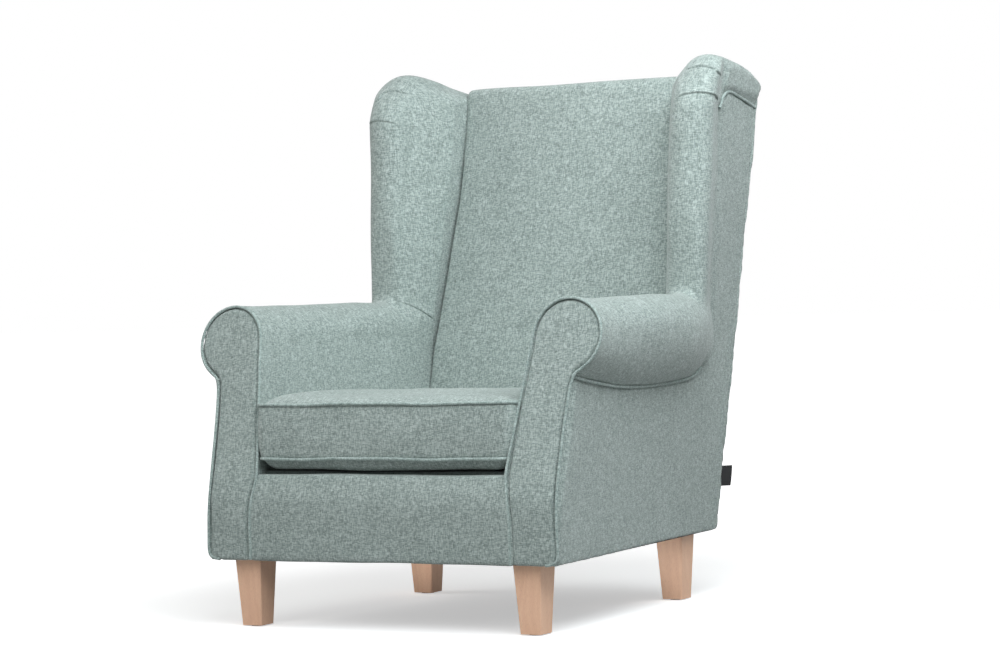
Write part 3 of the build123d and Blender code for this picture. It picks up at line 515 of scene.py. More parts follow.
def sewn_to(route, reach):
    """A rule: cloth within reach of a piping runs in to it."""
    def rule(at, out):
        away, _ = near_route(at, route)
        gap = np.linalg.norm(away, axis=1)
        pull = np.clip(1.0 - SEAM_GAP / np.maximum(gap, 1e-6), 0.0, 1.0) * ease(gap, reach, 0.4 * reach)
        return -away * pull[:, None]
    return rule


def sunk_end(route):
    """A rule: the front end of a cover lies deep inside the piping, and leaves a slot beside it."""
    def rule(at, out):
        away, _ = near_route(at, route)
        deep = ease(-out[:, 1], 0.4, 0.8) * ease(behind_facing(at), 0.014, 0.010)
        deep *= ease(np.linalg.norm(away, axis=1), 0.0006, 0.0035)
        return shift(at, y=SLOT_DEPTH * deep)
    return rule


def flat_outside(at, out):
    """Outside faces lie in their planes."""
    spare = -past_side(at)
    near = ease(facing_out(at, out), 0.5, 0.85) * ease(np.abs(spare), 0.008, 0.005)
    return shift(at, spare * near)


def flat_back(at, out):
    """The outside back lies in its plane."""
    spare = before_rear(at)
    near = ease(out[:, 1], 0.5, 0.85) * ease(np.abs(spare), 0.008, 0.005)
    return shift(at, y=spare * near)


def to_rear(at, out):
    """Covers reach out to a crisp edge at the outside back."""
    near = ease(before_rear(at), 0.035, 0.004) * ease(past_side(at), -0.05, -0.01)
    return shift(at, REAR_REACH[0] * near, REAR_REACH[1] * near)


def waisted(at, out):
    """The front of an outside panel runs in to the waist of the facing."""
    line = facing_outline()
    line = line[(line[:, 0] > 0.355) & (line[:, 1] < 0.470)]
    line = line[np.argsort(line[:, 1])]
    edge = np.interp(at[:, 2], line[:, 1], line[:, 0]) - OUTER_DRAW
    limit = edge + WAIST_SLOPE * np.clip(behind_facing(at), 0.0, None)
    over = np.clip(np.abs(at[:, 0]) - limit, 0.0, None) * ease(at[:, 2], 0.470, 0.455)
    return shift(at, -over)


def rounded_foot(at, out):
    """The outer foot of an arm's front is rounded off."""
    across = np.abs(at[:, 0]) - (OUTER_FOOT_X - FOOT_ROUND)
    down = FOOT_Z + FOOT_ROUND - at[:, 2]
    reach = np.hypot(across, down)
    corner = (across > 0) & (down > 0) & (reach > FOOT_ROUND)
    share = np.where(corner, FOOT_ROUND / np.maximum(reach, FOOT_ROUND) - 1.0, 0.0)
    share *= ease(at[:, 1] - FRONT_Y, 0.060, 0.020)
    return shift(at, across * share, z=-down * share)


def along_roll_seam(overlap):
    """A rule: an edge at the seam below the arm roll follows the bowed seam, and laps past it."""
    def rule(at, out):
        rise, low = seam_rise(at)
        near = ease(np.abs(at[:, 2] - low), 0.075, 0.004) * ease(past_side(at), -0.030, -0.008)
        return shift(at, z=(rise + overlap) * near)
    return rule


def wing_root(at):
    """Where the wing grows out of the arm, and the two make one cover: in front and outside."""
    x, y = wing_middle(at[:, 2])
    level = band(at[:, 2], 0.500, 0.565, 0.640, 0.720)
    front = ease(at[:, 1] - y, 0.050, -0.010)
    outer = ease(np.abs(at[:, 0]) - x, 0.000, 0.025)
    near = ease(at[:, 1] - y, -0.130, -0.080)
    return level * near * np.maximum(front, outer)


def wing_shoulder(at, out):
    """The front of a wing rounds back towards its top, and its rear corner falls off."""
    _, y = wing_middle(at[:, 2])
    front = ease(at[:, 2], 0.945, 1.030) * ease(at[:, 1] - y, 0.080, -0.020)
    rear = ease(at[:, 1] - FRONT_Y, 0.780, 0.860) * ease(at[:, 2], 0.985, 1.020)
    return shift(at, y=SHOULDER_ROUND * front, z=-CORNER_FALL * rear)


def to_back(at, out):
    """The inner faces of arms and wings run in to the seam beside the stuffed back."""
    spare = np.clip(np.abs(at[:, 0]) - back_seam_x(at[:, 2]) - BACK_GROOVE, 0.0, None)
    near = np.clip(1.06 + behind_back(at) / 0.085, 0.0, 1.0) * band(at[:, 2], 0.40, 0.46, 0.99, 1.03)
    inner = ease(-facing_out(at, out), 0.1, 0.6)
    return shift(at, -spare * near * inner)


def to_wings(at, out):
    """The sides of the stuffed back end at the seams beside the wings."""
    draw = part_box("back_pad")[1].x - back_seam_x(at[:, 2])
    near = ease(behind_back(at), 0.065, 0.035) * ease(np.abs(at[:, 0]), 0.14, 0.25)
    return shift(at, -draw * near)


def wing_flush(at, out):
    """The outer face of a wing comes out level with the outside panel, over the panel's front edge."""
    near = band(behind_panel_edge(at), -0.030, -0.006, 0.012, 0.030) * band(at[:, 2], 0.54, 0.60, 0.945, 0.965)
    near *= ease(facing_out(at, out), 0.2, 0.6)
    return shift(at, np.clip(0.0004 - past_side(at), -0.002, 0.010) * near)


def under_wing(at, out):
    """The front edge of an outside panel reaches in under the wing."""
    near = ease(behind_panel_edge(at), 0.022, 0.002) * band(at[:, 2], 0.50, 0.54, 0.955, 0.970)
    return shift(at, -UNDER_WING[0] * near, -UNDER_WING[1] * near)


def arm_sag(at, out):
    """The top of an arm lies lower behind its scroll."""
    return shift(at, z=-ARM_SAG * ease(at[:, 1] - FRONT_Y, 0.070, 0.200) * band(at[:, 2], 0.50, 0.57, 0.62, 0.70))


def wing_cap(at, out):
    """The top of a wing bulges out over the piping on its outside."""
    behind = at[:, 1] - FRONT_Y
    seam = 0.972 - 0.10 * np.clip(behind - 0.76, 0.0, 0.2)
    bulge = band(at[:, 2], seam, seam + 0.02, 1.02, 1.055) * ease(past_side(at), -0.025, -0.004)
    return out * (CAP_BULGE * bulge * ease(behind, 0.705, 0.735))[:, None]


# Shader nodes

class Link:
    """A node's output that takes part in sums; each sum adds a Math node."""

    def __init__(self, finish, socket):
        self.finish = finish
        self.socket = socket

    def math(self, operation, *values):
        return self.finish.node("ShaderNodeMath", {"operation": operation}, dict(enumerate(values)))

    def __add__(self, other):
        return self.math("ADD", self, other)

    def __sub__(self, other):
        return self.math("SUBTRACT", self, other)

    def __rsub__(self, other):
        return self.math("SUBTRACT", other, self)

    def __mul__(self, other):
        return self.math("MULTIPLY", self, other)

    def __truediv__(self, other):
        return self.math("DIVIDE", self, other)

    __radd__ = __add__

    def floor(self):
        return self.math("FLOOR", self)

    def wave(self):
        return self.math("SINE", self)

    def ridge(self):
        return self.math("ABSOLUTE", self.wave())

    def over(self, limit):
        return self.math("GREATER_THAN", self, limit)


class Graph:
    """A tree of shader nodes while it is put together."""

    def __init__(self, tree):
        self.tree = tree

    def node(self, kind, settings=None, inputs=None, output=0):
        """Adds a node with its settings and the values or links of its sockets."""
        made = self.tree.nodes.new(kind)
        for name, value in (settings or {}).items():
            if name == "stops":
                self.set_stops(made.color_ramp, value)
            else:
                setattr(made, name, value)
        for name, value in (inputs or {}).items():
            self.put(made.inputs[name], value)
        return Link(self, made.outputs[output])

    def set_stops(self, ramp, stops):
        while len(ramp.elements) < len(stops):
            ramp.elements.new(0.5)
        for element, (place, colour) in zip(ramp.elements, stops):
            element.position = place
            element.color = (*colour, 1.0)

    def put(self, socket, value):
        if isinstance(value, Link):
            self.tree.links.new(value.socket, socket)
        else:
            socket.default_value = value

    def seen(self):
        """1 for rays that look at the stage itself: from the camera, mirrored or let through."""
        kinds = ("Is Camera Ray", "Is Glossy Ray", "Is Transmission Ray")
        camera, glossy, through = [self.node("ShaderNodeLightPath", output=kind) for kind in kinds]
        return camera + glossy + through

    def place(self, kind):
        """Coordinates of a kind: Object or UV."""
        return self.node("ShaderNodeTexCoord", output=kind)

    def parts(self, vector):
        split = self.node("ShaderNodeSeparateXYZ", None, {0: vector})
        outputs = split.socket.node.outputs
        return [Link(self, outputs[i]) for i in range(3)]

    def vector(self, x, y, z=0.0):
        return self.node("ShaderNodeCombineXYZ", None, {0: x, 1: y, 2: z})

    def noise(self, vector, scale, detail=2.0, roughness=0.5):
        inputs = {"Vector": vector, "Scale": scale, "Detail": detail, "Roughness": roughness}
        return self.node("ShaderNodeTexNoise", None, inputs)

    def scatter(self, vector):
        return self.node("ShaderNodeTexWhiteNoise", {"noise_dimensions": "3D"}, {"Vector": vector})

    def mix(self, factor, first, second):
        return self.node("ShaderNodeMix", {"data_type": "RGBA"}, {0: factor, 6: first, 7: second}, 2)

    def ramp(self, factor, stops):
        return self.node("ShaderNodeValToRGB", {"stops": stops}, {"Fac": factor})

    def bump(self, height, strength, distance):
        inputs = {"Height": height, "Strength": strength, "Distance": distance}
        return self.node("ShaderNodeBump", None, inputs)


class Finish(Graph):
    """A material while its nodes are put together."""

    def __init__(self, name, **constants):
        self.material = bpy.data.materials.new(name)
        self.material.use_nodes = True
        super().__init__(self.material.node_tree)
        self.shader = self.tree.nodes["Principled BSDF"]
        for socket, value in constants.items():
            self.shader.inputs[socket.replace("_", " ")].default_value = value

    def feed(self, socket, value):
        self.put(self.shader.inputs[socket], value)

    def paint(self, tone, stops, height, strength, distance):
        """Feeds colour by a tone and relief by a height, and hands over the material."""
        self.feed("Base Color", self.ramp(tone, stops))
        self.feed("Normal", self.bump(height, strength, distance))
        return self.material


def rgb(red, green, blue):
    """A linear colour from the usual 0 to 255 values."""
    def linear(value):
        share = value / 255.0
        return share / 12.92 if share <= 0.04045 else ((share + 0.055) / 1.055) ** 2.4
    return (linear(red), linear(green), linear(blue))


# Finishes

THREAD = 0.0014           # width of a thread of the cover cloth
SHEEN_TINT = (0.97, 1.0, 0.99, 1.0)
DASH = 4.0                # a thread keeps one shade for about this many crossings


def melange_cloth(name, dark, middle, light, sheen=0.35):
    """Plain weave of spun threads in mixed shades."""
    made = Finish(name, Roughness=0.92, Sheen_Weight=sheen, Sheen_Roughness=0.45, Sheen_Tint=SHEEN_TINT,
                  Specular_IOR_Level=0.25)
    u, v, _ = made.parts(made.place("UV"))
    warp = u / THREAD
    weft = v / THREAD

    def shades(across, along, seed):
        """Shade of one set of threads, which changes along each thread."""
        lane = across.floor()
        start = made.scatter(made.vector(lane, seed)) * 9.0
        return made.scatter(made.vector(lane, (along / DASH + start).floor(), seed))

    place = made.place("Object")
    speckle = made.noise(place, 640.0, 2.0, 0.6)
    cloud = made.noise(place, 14.0, 3.0, 0.55)
    thread = shades(warp, weft, 7.0) * 0.5 + shades(weft, warp, 3.0) * 0.5
    tone = thread * 0.60 + speckle * 0.16 + cloud * 0.12 + 0.06
    half = (warp.floor() + weft.floor()) * 0.5
    over = (half - half.floor()).over(0.25)
    warp_height = (warp * pi).ridge()
    weft_height = (weft * pi).ridge()
    height = warp_height * over + weft_height * (1.0 - over) + speckle * 0.8
    made.feed("Roughness", 0.84 + speckle * 0.14)
    return made.paint(tone, [(0.12, dark), (0.5, middle), (0.88, light)], height, 0.4, 0.0004)


def beech(name):
    """Steamed beech under a satin lacquer, with its grain upright."""
    made = Finish(name, Roughness=0.45, Specular_IOR_Level=0.4)
    x, y, z = made.parts(made.place("Object"))
    drift = made.noise(made.vector(x * 5.0, y * 5.0, z * 1.4), 6.0, 3.0)
    rings = ((x * 420.0 + y * 260.0 + drift * 22.0 + z * 6.0).wave() + 1.0) * 0.5
    flecks = made.noise(made.vector(x * 900.0, y * 900.0, z * 120.0), 1.0, 2.0, 0.6)
    pores = made.noise(made.vector(x * 2400.0, y * 2400.0, z * 90.0), 1.0, 1.0)
    tone = rings * 0.12 + flecks * 0.50 + drift * 0.38
    colour = made.ramp(tone, [(0.25, rgb(236, 188, 158)), (0.55, rgb(246, 201, 170)), (0.85, rgb(252, 212, 183))])
    made.feed("Base Color", made.mix(pores.over(0.66) * 0.35, colour, (*rgb(190, 138, 106), 1.0)))
    made.feed("Roughness", 0.40 + flecks * 0.18)
    made.feed("Normal", made.bump(flecks + pores * 0.5, 0.12, 0.0004))
    return made.material


def frame_wood(name):
    """Rough-sawn hardwood of the hidden frame."""
    made = Finish(name, Roughness=0.75)
    x, y, z = made.parts(made.place("Object"))
    grain = made.noise(made.vector(x * 14.0, y * 90.0, z * 90.0), 1.0, 4.0, 0.6)
    saw = ((x * 900.0 + grain * 3.0).wave() + 1.0) * 0.5
    stops = [(0.3, rgb(168, 128, 92)), (0.7, rgb(206, 170, 130))]
    return made.paint(grain, stops, grain + saw * 0.3, 0.3, 0.0008)


def metal(name, colour, roughness):
    """Plain worked metal with fine scratches."""
    made = Finish(name, Metallic=1.0, Roughness=roughness)
    place = made.place("Object")
    wear = made.noise(place, 260.0, 3.0, 0.6)
    pale = tuple(min(1.0, c * 1.25) for c in colour)
    made.feed("Roughness", roughness - 0.08 + wear * 0.2)
    return made.paint(wear, [(0.35, colour), (0.7, pale)], wear, 0.08, 0.0003)


def felted(name, dark, light, scale=900.0):
    """Non-woven or moulded matt stuff with a fine uneven surface."""
    made = Finish(name, Roughness=0.9)
    place = made.place("Object")
    fibre = made.noise(place, scale, 3.0, 0.65)
    cloud = made.noise(place, 30.0, 2.0)
    made.feed("Roughness", 0.82 + fibre * 0.15)
    return made.paint(fibre * 0.7 + cloud * 0.3, [(0.3, dark), (0.7, light)], fibre, 0.35, 0.0005)


def ribbed_tape(name, dark, light, pitch, sheen=0.2):
    """Narrow woven tape with fine ribs across it."""
    made = Finish(name, Roughness=0.8, Sheen_Weight=sheen)
    place = made.place("Object")
    x, _, z = made.parts(place)
    rib = (x / pitch * pi).ridge()
    cross = (z / pitch * pi).ridge()
    fibre = made.noise(place, 1500.0, 2.0)
    tone = rib * 0.4 + cross * 0.2 + fibre * 0.4
    return made.paint(tone, [(0.2, dark), (0.8, light)], rib * 0.7 + cross * 0.3, 0.5, 0.0003)


cover_cloth = melange_cloth("cover_cloth", rgb(105, 118, 114), rgb(154, 167, 163), rgb(204, 216, 212))
# Piping cloth: the cover's cloth painted a little lighter, a painted highlight on the round cord
highlit_welt_cloth = melange_cloth("highlit_welt_cloth", rgb(108, 124, 120), rgb(158, 174, 170), rgb(206, 220, 216))
deck_cloth = melange_cloth("deck_cloth", rgb(62, 72, 69), rgb(82, 93, 90), rgb(102, 113, 110), 0.15)
leg_beech = beech("leg_beech")
raw_wood = frame_wood("raw_wood")
spring_steel = metal("spring_steel", (0.24, 0.24, 0.25), 0.42)
zinc = metal("zinc_plate", (0.52, 0.52, 0.50), 0.35)
nickel = metal("nickel_plate", (0.56, 0.55, 0.53), 0.25)
bottoming = felted("bottoming_cloth", rgb(22, 22, 23), rgb(38, 38, 40))
nylon = felted("glide_nylon", rgb(58, 52, 48), rgb(78, 71, 66), 300.0)
webbing = ribbed_tape("elastic_webbing", rgb(60, 48, 40), rgb(110, 92, 78), 0.003)
label_tape = ribbed_tape("label_tape", rgb(9, 9, 11), rgb(22, 23, 25), 0.0008, 0.0)
zip_tape = ribbed_tape("zip_tape", rgb(96, 116, 110), rgb(140, 160, 153), 0.0012)


# Stuffed pieces

def arm_and_wing(side):
    """Arm and wing under one cover, with the wing growing out of the arm."""
    piece = stuffed(f"{side}_arm_and_wing", [f"{side}_arm_pad", f"{side}_wing_pad"], 0.004, 16)
    soften(piece, wing_root, 70)
    seam = facing_route(side, *ARM_SEAM)
    refine(piece, seam, SEAM_FINE, 2)
    reshape(piece, drawn_to_piping, along_roll_seam(-0.002), arm_sag, sewn_to(seam, SEAM_REACH), sunk_end(seam),
            sewn_to(roll_route(side, *ARM_LAP), 0.008), wing_flush, wing_cap, wing_shoulder, to_back, to_rear,
            ripples(11, 0.0009, 0.16))
    tuck(piece, placed(ARM_CREASE, side), UPWARDS, *CREASE_FOLD)
    for pleat in PLEATS[side]:
        tuck(piece, placed(pleat, side), UPWARDS, *PLEAT_FOLD)
    tuck(piece, placed(CORNER_FOLD, side), FORWARDS, *CORNER_LAP)
    finish_piece(piece, "chair", cover_cloth)


def facing(side):
    """The front of an arm, pillowed inside its piping."""
    piece = stuffed(f"{side}_facing", [f"{side}_arm_facing"], 0.003, 10)
    edge = facing_route(side, *FACE_SEAM)
    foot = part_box(f"{side}_arm_facing")[0].z - FOOT_Z

    def to_foot(at, out):
        return shift(at, z=-foot * ease(at[:, 2], FOOT_Z + 0.05, FOOT_Z + 0.01))

    def turned(at, out):
        return shift(at, y=fall_back(at[:, 0]))

    def pillow(at, out):
        gap = np.linalg.norm(near_route(at, edge)[0], axis=1)
        rise = 0.0014 * (1.0 - np.exp(-gap / 0.003)) + 0.0018 * (1.0 - np.exp(-gap / 0.030))
        return shift(at, y=-rise * np.clip(-out[:, 1], 0.0, 1.0))

    refine(piece, edge, 0.012, 2)
    reshape(piece, to_foot, turned, rounded_foot, pillow, sewn_to(edge, 0.0095), ripples(31, 0.0005, 0.12))
    finish_piece(piece, "chair", cover_cloth)


def outside(side):
    """The flat outside of an arm and wing."""
    piece = stuffed(f"{side}_outside", [f"{side}_outside_panel"], 0.004, 8)
    seam = facing_route(side, *ARM_SEAM)
    refine(piece, seam, SEAM_FINE, 2)
    reshape(piece, flat_outside, drawn_to_piping, along_roll_seam(0.006), rounded_foot, waisted,
            sewn_to(seam, SEAM_REACH), sewn_to(roll_route(side, *PANEL_LAP), 0.006), under_wing, to_rear,
            ripples(41, 0.0005, 0.30))
    finish_piece(piece, "chair", cover_cloth)


def wider(reach, start, end):
    """A rule: the ends of a piece are drawn out sideways by reach."""
    def rule(at, out):
        return shift(at, reach * ease(np.abs(at[:, 0]), start, end))
    return rule


def rolled_top(at, out):
    """The top edge of the front border, rolled over."""
    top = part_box("front_border")[1].z - BORDER_FALL
    fall = -BORDER_FALL * ease(at[:, 2], top - 0.030, top)
    ahead = FRONT_Y + BORDER_ROLL - at[:, 1]
    above = at[:, 2] + fall - (top - BORDER_ROLL)
    reach = np.hypot(ahead, above)
    corner = (ahead > 0) & (above > 0) & (reach > BORDER_ROLL)
    share = np.where(corner, BORDER_ROLL / np.maximum(reach, 1e-6) - 1.0, 0.0)
    return shift(at, y=-ahead * share, z=fall + above * share)


def crest(rise, start, end):
    """A rule: the top of a piece comes up by rise."""
    def rule(at, out):
        return shift(at, z=rise * ease(at[:, 2], start, end))
    return rule


def to_back_foot(at, out):
    """The seat platform runs back to the foot of the stuffed back."""
    return shift(at, y=PLATFORM_REACH * ease(at[:, 1], 0.05, 0.11))


def plain_cover(node, name, voxel, passes, seed, fill, *rules, slot="sage_fabric", cloth=cover_cloth):
    """A stuffed piece of the chair, shaped by rules and slightly rippled."""
    piece = stuffed(name, [node], voxel, passes)
    reshape(piece, *rules, ripples(seed, *COVER_RIPPLES))
    finish_piece(piece, "chair", cloth)


def welt(name, route, radius, node, body="chair", closed=False):
    """Piping along a route, in place of its node."""
    piece = tube(name, route, radius, closed)
    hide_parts(node)
    # the piping's cloth is painted lighter than the cover, a painted highlight on the cord
    finish_piece(piece, body, highlit_welt_cloth)


def side_welts(side):
    """Piping round a facing, below the arm roll and below the wing's cap."""
    welt(f"{side}_facing_welt", facing_route(side), FACING_PIPING, f"{side}_facing_piping")
    welt(f"{side}_roll_welt", roll_route(side, *ROLL_WELT), PIPING, f"{side}_arm_piping")
    welt(f"{side}_wing_welt", wing_route(side), PIPING, f"{side}_wing_piping")


# Loose cushion

def bowed(start, end, bow, count):
    """Places from start to end, bowed to the left of the way by bow."""
    start = np.array(start)
    end = np.array(end)
    way = (end - start) / np.linalg.norm(end - start)
    left = np.array([-way[1], way[0]])
    shares = np.linspace(0.0, 1.0, count)
    return [start + (end - start) * s + left * bow * 4.0 * s * (1.0 - s) for s in shares]


def cushion_route(node):
    """Places round the cushion along the middle of a piping node, which falls to the rear."""
    low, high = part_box(node)
    front, rear = low.y + PIPING + CUSHION_BOW, high.y - PIPING
    front_z, rear_z = high.z - PIPING, low.z + PIPING
    front_x = high.x - PIPING
    rear_x = front_x - ARM_TAPER * (rear - front) - ARM_SLOPE * (front_z - rear_z)
    corners = [(-front_x, front), (front_x, front), (rear_x, rear), (-rear_x, rear)]
    bows = [-CUSHION_BOW, CUSHION_PULL, 0.0, CUSHION_PULL]
    flat = []
    for i in range(4):
        here = np.array(corners[i])
        there = np.array(corners[(i + 1) % 4])
        way = (there - here) / np.linalg.norm(there - here)
        flat += bowed(here + way * CUSHION_CORNER, there - way * CUSHION_CORNER, bows[i], 22)
    return [(x, y, front_z + (rear_z - front_z) * (y - front) / (rear - front)
             + 0.0010 * sin(21.0 * x + 9.0 * y) + 0.0005 * sin(47.0 * x)) for x, y in flat]


def inflate(piece, held, pressure, cap, frames=20):
    """Lets cloth swell outwards under pressure, held at its seams, no further than cap."""
    start = points_of(piece)
    out = normals_of(piece)
    group = piece.vertex_groups.new(name="seam")
    group.add([int(i) for i in np.nonzero(held)[0]], 1.0, "REPLACE")
    select_only(piece)
    modifier = piece.modifiers.new("cloth", "CLOTH")
    settings = modifier.settings
    settings.vertex_group_mass = group.name
    settings.use_pressure = True
    settings.uniform_pressure_force = pressure
    settings.effector_weights.gravity = 0.0
    settings.quality = 5
    settings.mass = 0.3
    settings.tension_stiffness = 25.0
    settings.compression_stiffness = 25.0
    settings.bending_stiffness = 2.0
    modifier.point_cache.frame_start = 1
    modifier.point_cache.frame_end = frames
    for step in range(1, frames + 1):
        bpy.context.scene.frame_set(step)
    bpy.ops.object.modifier_apply(modifier=modifier.name)
    bpy.context.scene.frame_set(1)
    piece.vertex_groups.clear()
    rise = np.clip(((points_of(piece) - start) * out).sum(axis=1), 0.0, cap)
    set_points(piece, start + out * rise[:, None])


def boxed(top, bottom):
    """A rule: the border of the cushion stands out flush with its two pipings, and swells between them."""
    top = np.array(top)
    bottom = np.array(bottom)
    slope, level = np.polyfit(top[:, 1], top[:, 2], 1)
    foot = bottom[:, 2].mean()

    def rule(at, out):
        up = (at[:, 2] - foot) / (slope * at[:, 1] + level - foot)
        share = ease(np.abs(out[:, 2]), 0.85, 0.45) * band(up, -0.04, 0.04, 0.96, 1.04)
        flat = at * (1.0, 1.0, 0.0)
        move = np.zeros_like(at)
        rows = np.rint(np.clip(up, 0.0, 1.0) * BORDER_ROWS).astype(int)
        for row in range(BORDER_ROWS + 1):
            here = np.nonzero((rows == row) & (share > 0.0))[0]
            route = (bottom + (top - bottom) * row / BORDER_ROWS) * (1.0, 1.0, 0.0)
            away, _ = near_route(flat[here], list(route) + [route[0]])
            move[here] = -away
        level_out = out * (1.0, 1.0, 0.0)
        level_out /= np.maximum(np.linalg.norm(level_out, axis=1), 1e-6)[:, None]
        rise = np.clip(up * (1.0 - up), 0.0, 0.25) * 4.0
        move += level_out * (BORDER_SWELL * rise - BORDER_SET)[:, None]
        return move * share[:, None]
    return rule


def crown_end(at, out):
    """The crown of the cushion stays full up to its right end."""
    full = band(at[:, 0], -0.262, -0.235, -0.19, -0.10) * ease(out[:, 2], 0.3, 0.8)
    return shift(at, z=CROWN_FILL * full)


def front_belly(at, out):
    """The underside of the cushion hangs over the front border."""
    hang = band(at[:, 1] - FRONT_Y, 0.010, 0.022, 0.036, 0.060) * ease(at[:, 2], 0.312, 0.298)
    return shift(at, z=-BELLY_HANG * hang)


def cushion():
    """The loose seat cushion with its two pipings, swollen between them."""
    piece = copy_of("seat_cushion", "cushion_core")
    apply_modifier(piece, "REMESH", mode="VOXEL", voxel_size=0.005)
    apply_modifier(piece, "SMOOTH", factor=0.5, iterations=3)
    at = points_of(piece)
    top = cushion_route("cushion_top_piping")
    bottom = cushion_route("cushion_bottom_piping")
    gaps = [np.linalg.norm(near_route(at, route + route[:1])[0], axis=1) for route in (top, bottom)]
    inflate(piece, np.minimum(*gaps) < SEAM_HELD, 4.0, 0.006)
    reshape(piece, lambda at, out: out * COVER_GAUGE, boxed(top, bottom), crown_end, front_belly,
            ripples(53, 0.0011, 0.14))
    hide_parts("cushion_cover", "cushion_core")
    finish_piece(piece, "cushion", cover_cloth)
    for name, route in (("top", top), ("bottom", bottom)):
        welt(f"cushion_{name}_welt", route, PIPING, f"cushion_{name}_piping", "cushion", closed=True)


# Thin goods

def cloth_strip(name, cuts, place, thickness):
    """A sheet with its grid of (u, v) from 0 to 1 brought into place, given a thickness."""
    bpy.ops.object.select_all(action="DESELECT")
    bpy.ops.mesh.primitive_grid_add(x_subdivisions=cuts[0], y_subdivisions=cuts[1], size=1.0)
    piece = bpy.context.view_layer.objects.active
    piece.name = name
    at = points_of(piece)
    set_points(piece, place(at[:, 0] + 0.5, at[:, 1] + 0.5))
    apply_modifier(piece, "SOLIDIFY", thickness=thickness, offset=0.0)
    return piece


def label():
    """A blank woven label, folded double, with both ends in the rear seam."""
    low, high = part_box("rear_label")
    foot = np.array([low.x + 0.0005, low.y + 0.0005, low.z])
    out = np.array([cos(pi / 4), sin(pi / 4), 0.0])
    side = np.array([sin(pi / 4), -cos(pi / 4), 0.0])
    up = np.array([0.0016, 0.0070, high.z - low.z])

    def place(u, v):
        turn = (u - 0.5) * 2.0
        reach = 0.0205 * (1.0 - np.abs(turn) ** 5) - 0.004 * np.abs(turn) ** 5 - 0.006 * (np.abs(turn) ** 1.4)
        gape = 0.0011 * np.sign(turn) * np.minimum(1.0, np.abs(turn) * 9.0) * (1.0 - 0.5 * np.abs(turn))
        curl = 0.0016 * np.sin(pi * v) * np.clip(reach / 0.02, 0.0, 1.0)
        return foot + out * reach[:, None] + side * (gape + curl)[:, None] + up * v[:, None]

    piece = cloth_strip("blank_label", (48, 14), place, 0.0004)
    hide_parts("rear_label")
    finish_piece(piece, "chair", label_tape)


def dust_cover():
    """Black cloth stretched under the seat, sagging towards its middle and lightly crumpled."""
    low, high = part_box("dust_cover")
    length = high.y - low.y

    def place(u, v):
        half = high.x - SIDE_TAPER * length * v
        edge = np.minimum(np.minimum(u, 1.0 - u) * 2.0, np.minimum(v, 1.0 - v) * 2.0)
        sag = 0.0030 * ease(edge, 0.10, 0.9)
        crumple = 0.0006 * np.sin(31.0 * u + 4.0 * np.sin(17.0 * v)) * ease(edge, 0.0, 0.2)
        return np.column_stack([half * (2.0 * u - 1.0), low.y + length * v, low.z + 0.0007 - sag + crumple])

    piece = cloth_strip("underside_cloth", (60, 60), place, 0.0006)
    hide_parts("dust_cover")
    finish_piece(piece, "chair", bottoming)


def zip_fastener():
    """Woven tapes and a coil of teeth along the rear of the cushion."""
    low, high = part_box("cushion_zip")
    middle = np.array([0.0, (low.y + high.y) / 2, (low.z + high.z) / 2])
    half = high.x
    lean = radians(15.2)
    out = np.array([0.0, cos(lean), -sin(lean)])
    up = np.array([0.0, sin(lean), cos(lean)])
    across = np.array([1.0, 0.0, 0.0])

    def place(u, v):
        groove = -0.0012 * np.exp(-((v - 0.5) / 0.04) ** 2)
        wave = 0.0004 * np.sin(60.0 * u + 5.0 * v)
        return middle + across * (half * (2 * u - 1))[:, None] + up * (0.012 * (2 * v - 1))[:, None] \
            + out * (groove + wave - 0.0004)[:, None]

    tape = cloth_strip("zip_tapes", (160, 16), place, 0.0006)
    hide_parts("cushion_zip")
    finish_piece(tape, "cushion", zip_tape)
    turns = 130
    route = []
    for step in range(turns * 6):
        angle = step * pi / 3
        x = (half - 0.012) * (2.0 * step / (turns * 6 - 1) - 1.0)
        route.append(middle + across * x + up * 0.0019 * sin(angle) + out * (0.0006 + 0.00045 * cos(angle)))
    coil = tube("zip_coil", route, 0.0003)
    finish_piece(coil, "cushion", zip_tape)


# Pieces that keep their CAD shape

def dress_frame():
    """Paints the nodes that stay as they are."""
    finishes = {"frame_wood": raw_wood, "spring_steel": spring_steel, "zinc_steel": zinc, "webbing": webbing,
                "beech": leg_beech, "dust_cloth": bottoming, "label_tape": label_tape, "zip_tape": zip_tape,
                "slider_metal": nickel, "glide_plastic": nylon}
    for entry in frame["record"]["subparts"]:
        material = finishes.get(entry["material_slot"])
        if material is not None:
            node = nodes[entry["node"]]
            node.data.materials.clear()
            node.data.materials.append(material)


# Stage

def camera():
    data = bpy.data.cameras.new("camera")
    data.lens = LENS
    data.sensor_width = 36.0
    right = Vector((cos(PAN), sin(PAN), 0.0))
    ahead = Vector((-sin(PAN) * cos(TILT), cos(PAN) * cos(TILT), sin(TILT)))
    up = right.cross(ahead)
    turned_right = cos(CANT) * right + sin(CANT) * up
    turned_up = -sin(CANT) * right + cos(CANT) * up
    holder = added("camera", data)
    turn = Matrix((turned_right, turned_up, -ahead)).transposed().to_4x4()
    holder.matrix_world = Matrix.Translation(CAMERA_PLACE) @ turn
    bpy.context.scene.camera = holder


WHITE = (1.0, 1.0, 1.0, 1.0)
FLOOR_SEEN = (0.93, 0.93, 0.93, 1.0)
FLOOR_BOUNCE = (0.38, 0.38, 0.38, 1.0)
COOL = (0.95, 1.0, 1.02)
WARM = (1.0, 0.99, 0.98)


def lamp(name, place, aim, size, power, colour, spread=pi):
    data = bpy.data.lights.new(name, "AREA")
    data.shape = "SQUARE"
    data.size = size
    data.energy = power
    data.color = colour
    data.spread = spread
    holder = added(name, data)
    holder.location = place
    holder.rotation_euler = (Vector(aim) - Vector(place)).to_track_quat("-Z", "Y").to_euler()
    holder.visible_camera = False


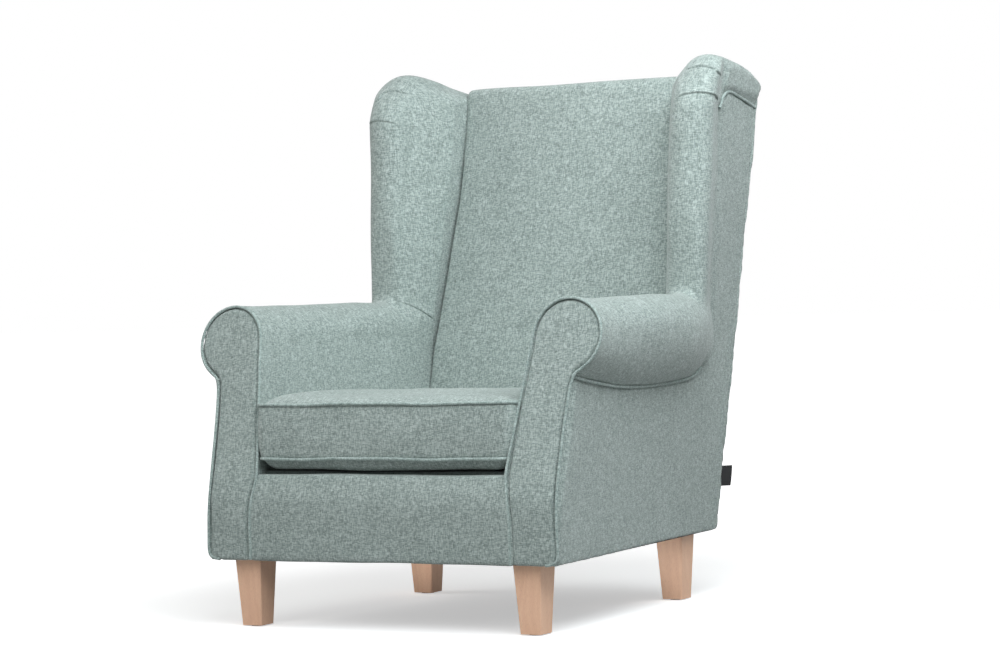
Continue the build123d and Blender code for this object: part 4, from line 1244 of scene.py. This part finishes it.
def floor():
    bpy.ops.object.select_all(action="DESELECT")
    bpy.ops.mesh.primitive_plane_add(size=60.0)
    piece = bpy.context.view_layer.objects.active
    piece.name = "studio_floor"
    made = Finish("studio_floor", Roughness=0.9, Specular_IOR_Level=0.0, Emission_Strength=1.0)
    seen = made.seen()
    place = made.place("Object")
    reach = made.node("ShaderNodeVectorMath", {"operation": "LENGTH"}, {0: place}, "Value")
    glow = made.ramp(reach / 4.0, [(0.2, (0.46, 0.46, 0.46)), (0.6, (1.0, 1.0, 1.0))])
    made.feed("Base Color", made.mix(seen, FLOOR_BOUNCE, FLOOR_SEEN))
    made.feed("Emission Color", made.mix(seen, (0.0, 0.0, 0.0, 1.0), glow))
    piece.data.materials.append(made.material)


def studio():
    scene = bpy.context.scene
    scene.view_settings.view_transform = "Standard"
    world = bpy.data.worlds.new("studio")
    scene.world = world
    world.use_nodes = True
    graph = Graph(world.node_tree)
    soft = graph.node("ShaderNodeBackground", None, {"Color": WHITE, "Strength": 0.23})
    white = graph.node("ShaderNodeBackground", None, {"Color": WHITE, "Strength": 1.0})
    blend = graph.node("ShaderNodeMixShader", None, {0: graph.seen(), 1: soft, 2: white})
    graph.put(world.node_tree.nodes["World Output"].inputs[0], blend)
    middle = (0.0, 0.0, 0.55)
    upper = (0.0, 0.0, 0.80)
    lamp("key", (1.49, -2.13, 2.73), middle, 1.8, 45.0, COOL)
    lamp("front", (-0.30, -3.20, 2.20), middle, 1.4, 17.0, WARM)
    lamp("left", (-3.17, -0.85, 1.80), middle, 1.8, 27.0, WARM)
    lamp("right", (2.84, -1.64, 2.00), middle, 1.8, 8.5, COOL)
    for side, sign in SIDES.items():
        lamp(f"{side}_rear_leg", (sign * 0.12, -0.25, 0.085), (sign * 0.28, 0.18, 0.07), 0.08, 0.018, WARM,
             radians(25.0))
    lamp("over_seat", (0.70, -0.50, 1.90), upper, 1.0, 12.0, COOL)
    lamp("over_left_arm", (1.60, 0.05, 2.10), upper, 1.0, 16.0, COOL)


camera()
studio()
floor()
dress_frame()
for chair_side in SIDES:
    arm_and_wing(chair_side)
    facing(chair_side)
    outside(chair_side)
    side_welts(chair_side)
plain_cover("back_pad", "stuffed_back", 0.005, 12, 61, 0.85, to_wings, crest(-0.0015, 0.96, 1.01))
plain_cover("outside_back", "outside_back_cover", 0.0048, 8, 67, 0.7, flat_back, to_rear,
            crest(0.006, 0.93, 0.98))
plain_cover("front_border", "seat_border", 0.004, 16, 71, 0.8, wider(0.006, 0.20, 0.262), rolled_top)
plain_cover("seat_deck", "seat_platform", 0.006, 6, 73, 0.8, to_back_foot, slot="deck_cloth", cloth=deck_cloth)
cushion()
zip_fastener()
label()
dust_cover()
